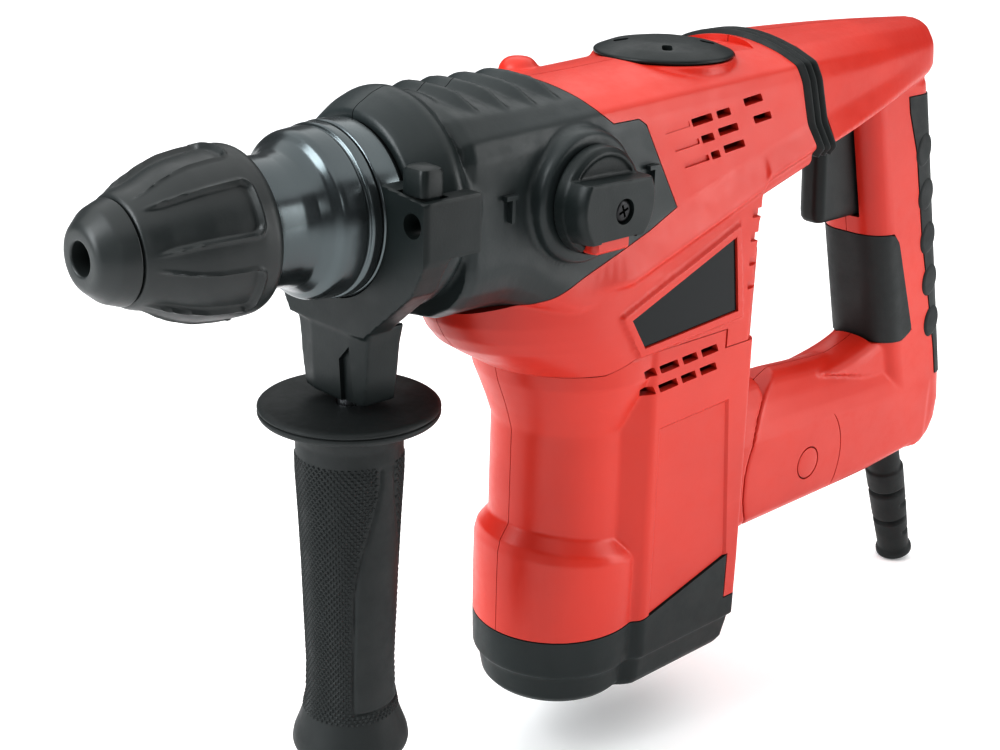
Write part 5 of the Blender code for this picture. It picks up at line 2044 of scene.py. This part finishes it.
class HAMMER_OT_bellows(bpy.types.Operator):
    """Folded bellows before the rear handle"""

    bl_idname = "hammer.bellows"
    bl_label = "Bellows"

    def execute(self, context):
        bellows()
        return {"FINISHED"}


class HAMMER_OT_rear_handle(bpy.types.Operator):
    """Rear handle shell and its pivot cover"""

    bl_idname = "hammer.rear_handle"
    bl_label = "Rear handle"

    def execute(self, context):
        rear_handle()
        return {"FINISHED"}


class HAMMER_OT_soft_grips(bpy.types.Operator):
    """Pad, strip and tabs of the rear handle"""

    bl_idname = "hammer.soft_grips"
    bl_label = "Soft grips"

    def execute(self, context):
        soft_grips()
        return {"FINISHED"}


class HAMMER_OT_trigger(bpy.types.Operator):
    """Trigger blade"""

    bl_idname = "hammer.trigger"
    bl_label = "Trigger"

    def execute(self, context):
        trigger()
        return {"FINISHED"}


class HAMMER_OT_cord_sleeve(bpy.types.Operator):
    """Notched strain relief of the cord"""

    bl_idname = "hammer.cord_sleeve"
    bl_label = "Cord sleeve"

    def execute(self, context):
        cord_sleeve()
        return {"FINISHED"}


class HAMMER_OT_chuck(bpy.types.Operator):
    """Nose cap and panelled sleeve"""

    bl_idname = "hammer.chuck"
    bl_label = "Chuck"

    def execute(self, context):
        chuck()
        return {"FINISHED"}


class HAMMER_OT_side_clamp(bpy.types.Operator):
    """Clamp block, band and thumb button"""

    bl_idname = "hammer.side_clamp"
    bl_label = "Side clamp"

    def execute(self, context):
        side_clamp()
        return {"FINISHED"}


class HAMMER_OT_side_grip(bpy.types.Operator):
    """Flanged side grip with its inlay and knurl"""

    bl_idname = "hammer.side_grip"
    bl_label = "Side grip"

    def execute(self, context):
        side_grip()
        return {"FINISHED"}


class HAMMER_OT_mode_dial(bpy.types.Operator):
    """Dial knob, screw and lock tab"""

    bl_idname = "hammer.mode_dial"
    bl_label = "Mode dial"

    def execute(self, context):
        mode_dial()
        return {"FINISHED"}


class HAMMER_OT_springs(bpy.types.Operator):
    """Sleeve, trigger and damper springs"""

    bl_idname = "hammer.springs"
    bl_label = "Springs"

    def execute(self, context):
        springs()
        return {"FINISHED"}


class HAMMER_OT_inner_parts(bpy.types.Operator):
    """Finishes of the motor, gears and spindle"""

    bl_idname = "hammer.inner_parts"
    bl_label = "Inner parts"

    def execute(self, context):
        inner_parts()
        return {"FINISHED"}


class HAMMER_OT_studio(bpy.types.Operator):
    """Floor, lights and camera"""

    bl_idname = "hammer.studio"
    bl_label = "Studio"

    def execute(self, context):
        studio(chosen().floor_tone, chosen().key_power, chosen().fill_power, chosen().lens)
        return {"FINISHED"}


STEP_OPERATORS = (
    HAMMER_OT_gear_case,
    HAMMER_OT_upper_shell,
    HAMMER_OT_motor_shell,
    HAMMER_OT_vent_cap,
    HAMMER_OT_neck,
    HAMMER_OT_bellows,
    HAMMER_OT_rear_handle,
    HAMMER_OT_soft_grips,
    HAMMER_OT_trigger,
    HAMMER_OT_cord_sleeve,
    HAMMER_OT_chuck,
    HAMMER_OT_side_clamp,
    HAMMER_OT_side_grip,
    HAMMER_OT_mode_dial,
    HAMMER_OT_springs,
    HAMMER_OT_inner_parts,
)


class HAMMER_PT_panel(bpy.types.Panel):
    """Lists the settings and the steps"""

    bl_idname = "HAMMER_PT_panel"
    bl_label = "Rotary hammer"
    bl_space_type = "VIEW_3D"
    bl_region_type = "UI"
    bl_category = "Hammer"

    def draw(self, context):
        for name in HammerSettings.__annotations__:
            self.layout.prop(context.scene.hammer_settings, name)
        for made in (*STEP_OPERATORS, HAMMER_OT_studio):
            self.layout.operator(made.bl_idname)


CLASSES = (HammerSettings, *STEP_OPERATORS, HAMMER_OT_studio, HAMMER_PT_panel)


def register():
    for item in CLASSES:
        bpy.utils.register_class(item)
    bpy.types.Scene.hammer_settings = bpy.props.PointerProperty(type=HammerSettings)


def unregister():
    del bpy.types.Scene.hammer_settings
    for item in reversed(CLASSES):
        bpy.utils.unregister_class(item)


def main():
    register()
    bpy.ops.hammer.studio()
    for made in STEP_OPERATORS:
        getattr(bpy.ops.hammer, made.bl_idname.split(".")[1])()
    for left in list(BENCH.objects):
        discard(left)


if __name__ == "__main__":
    main()
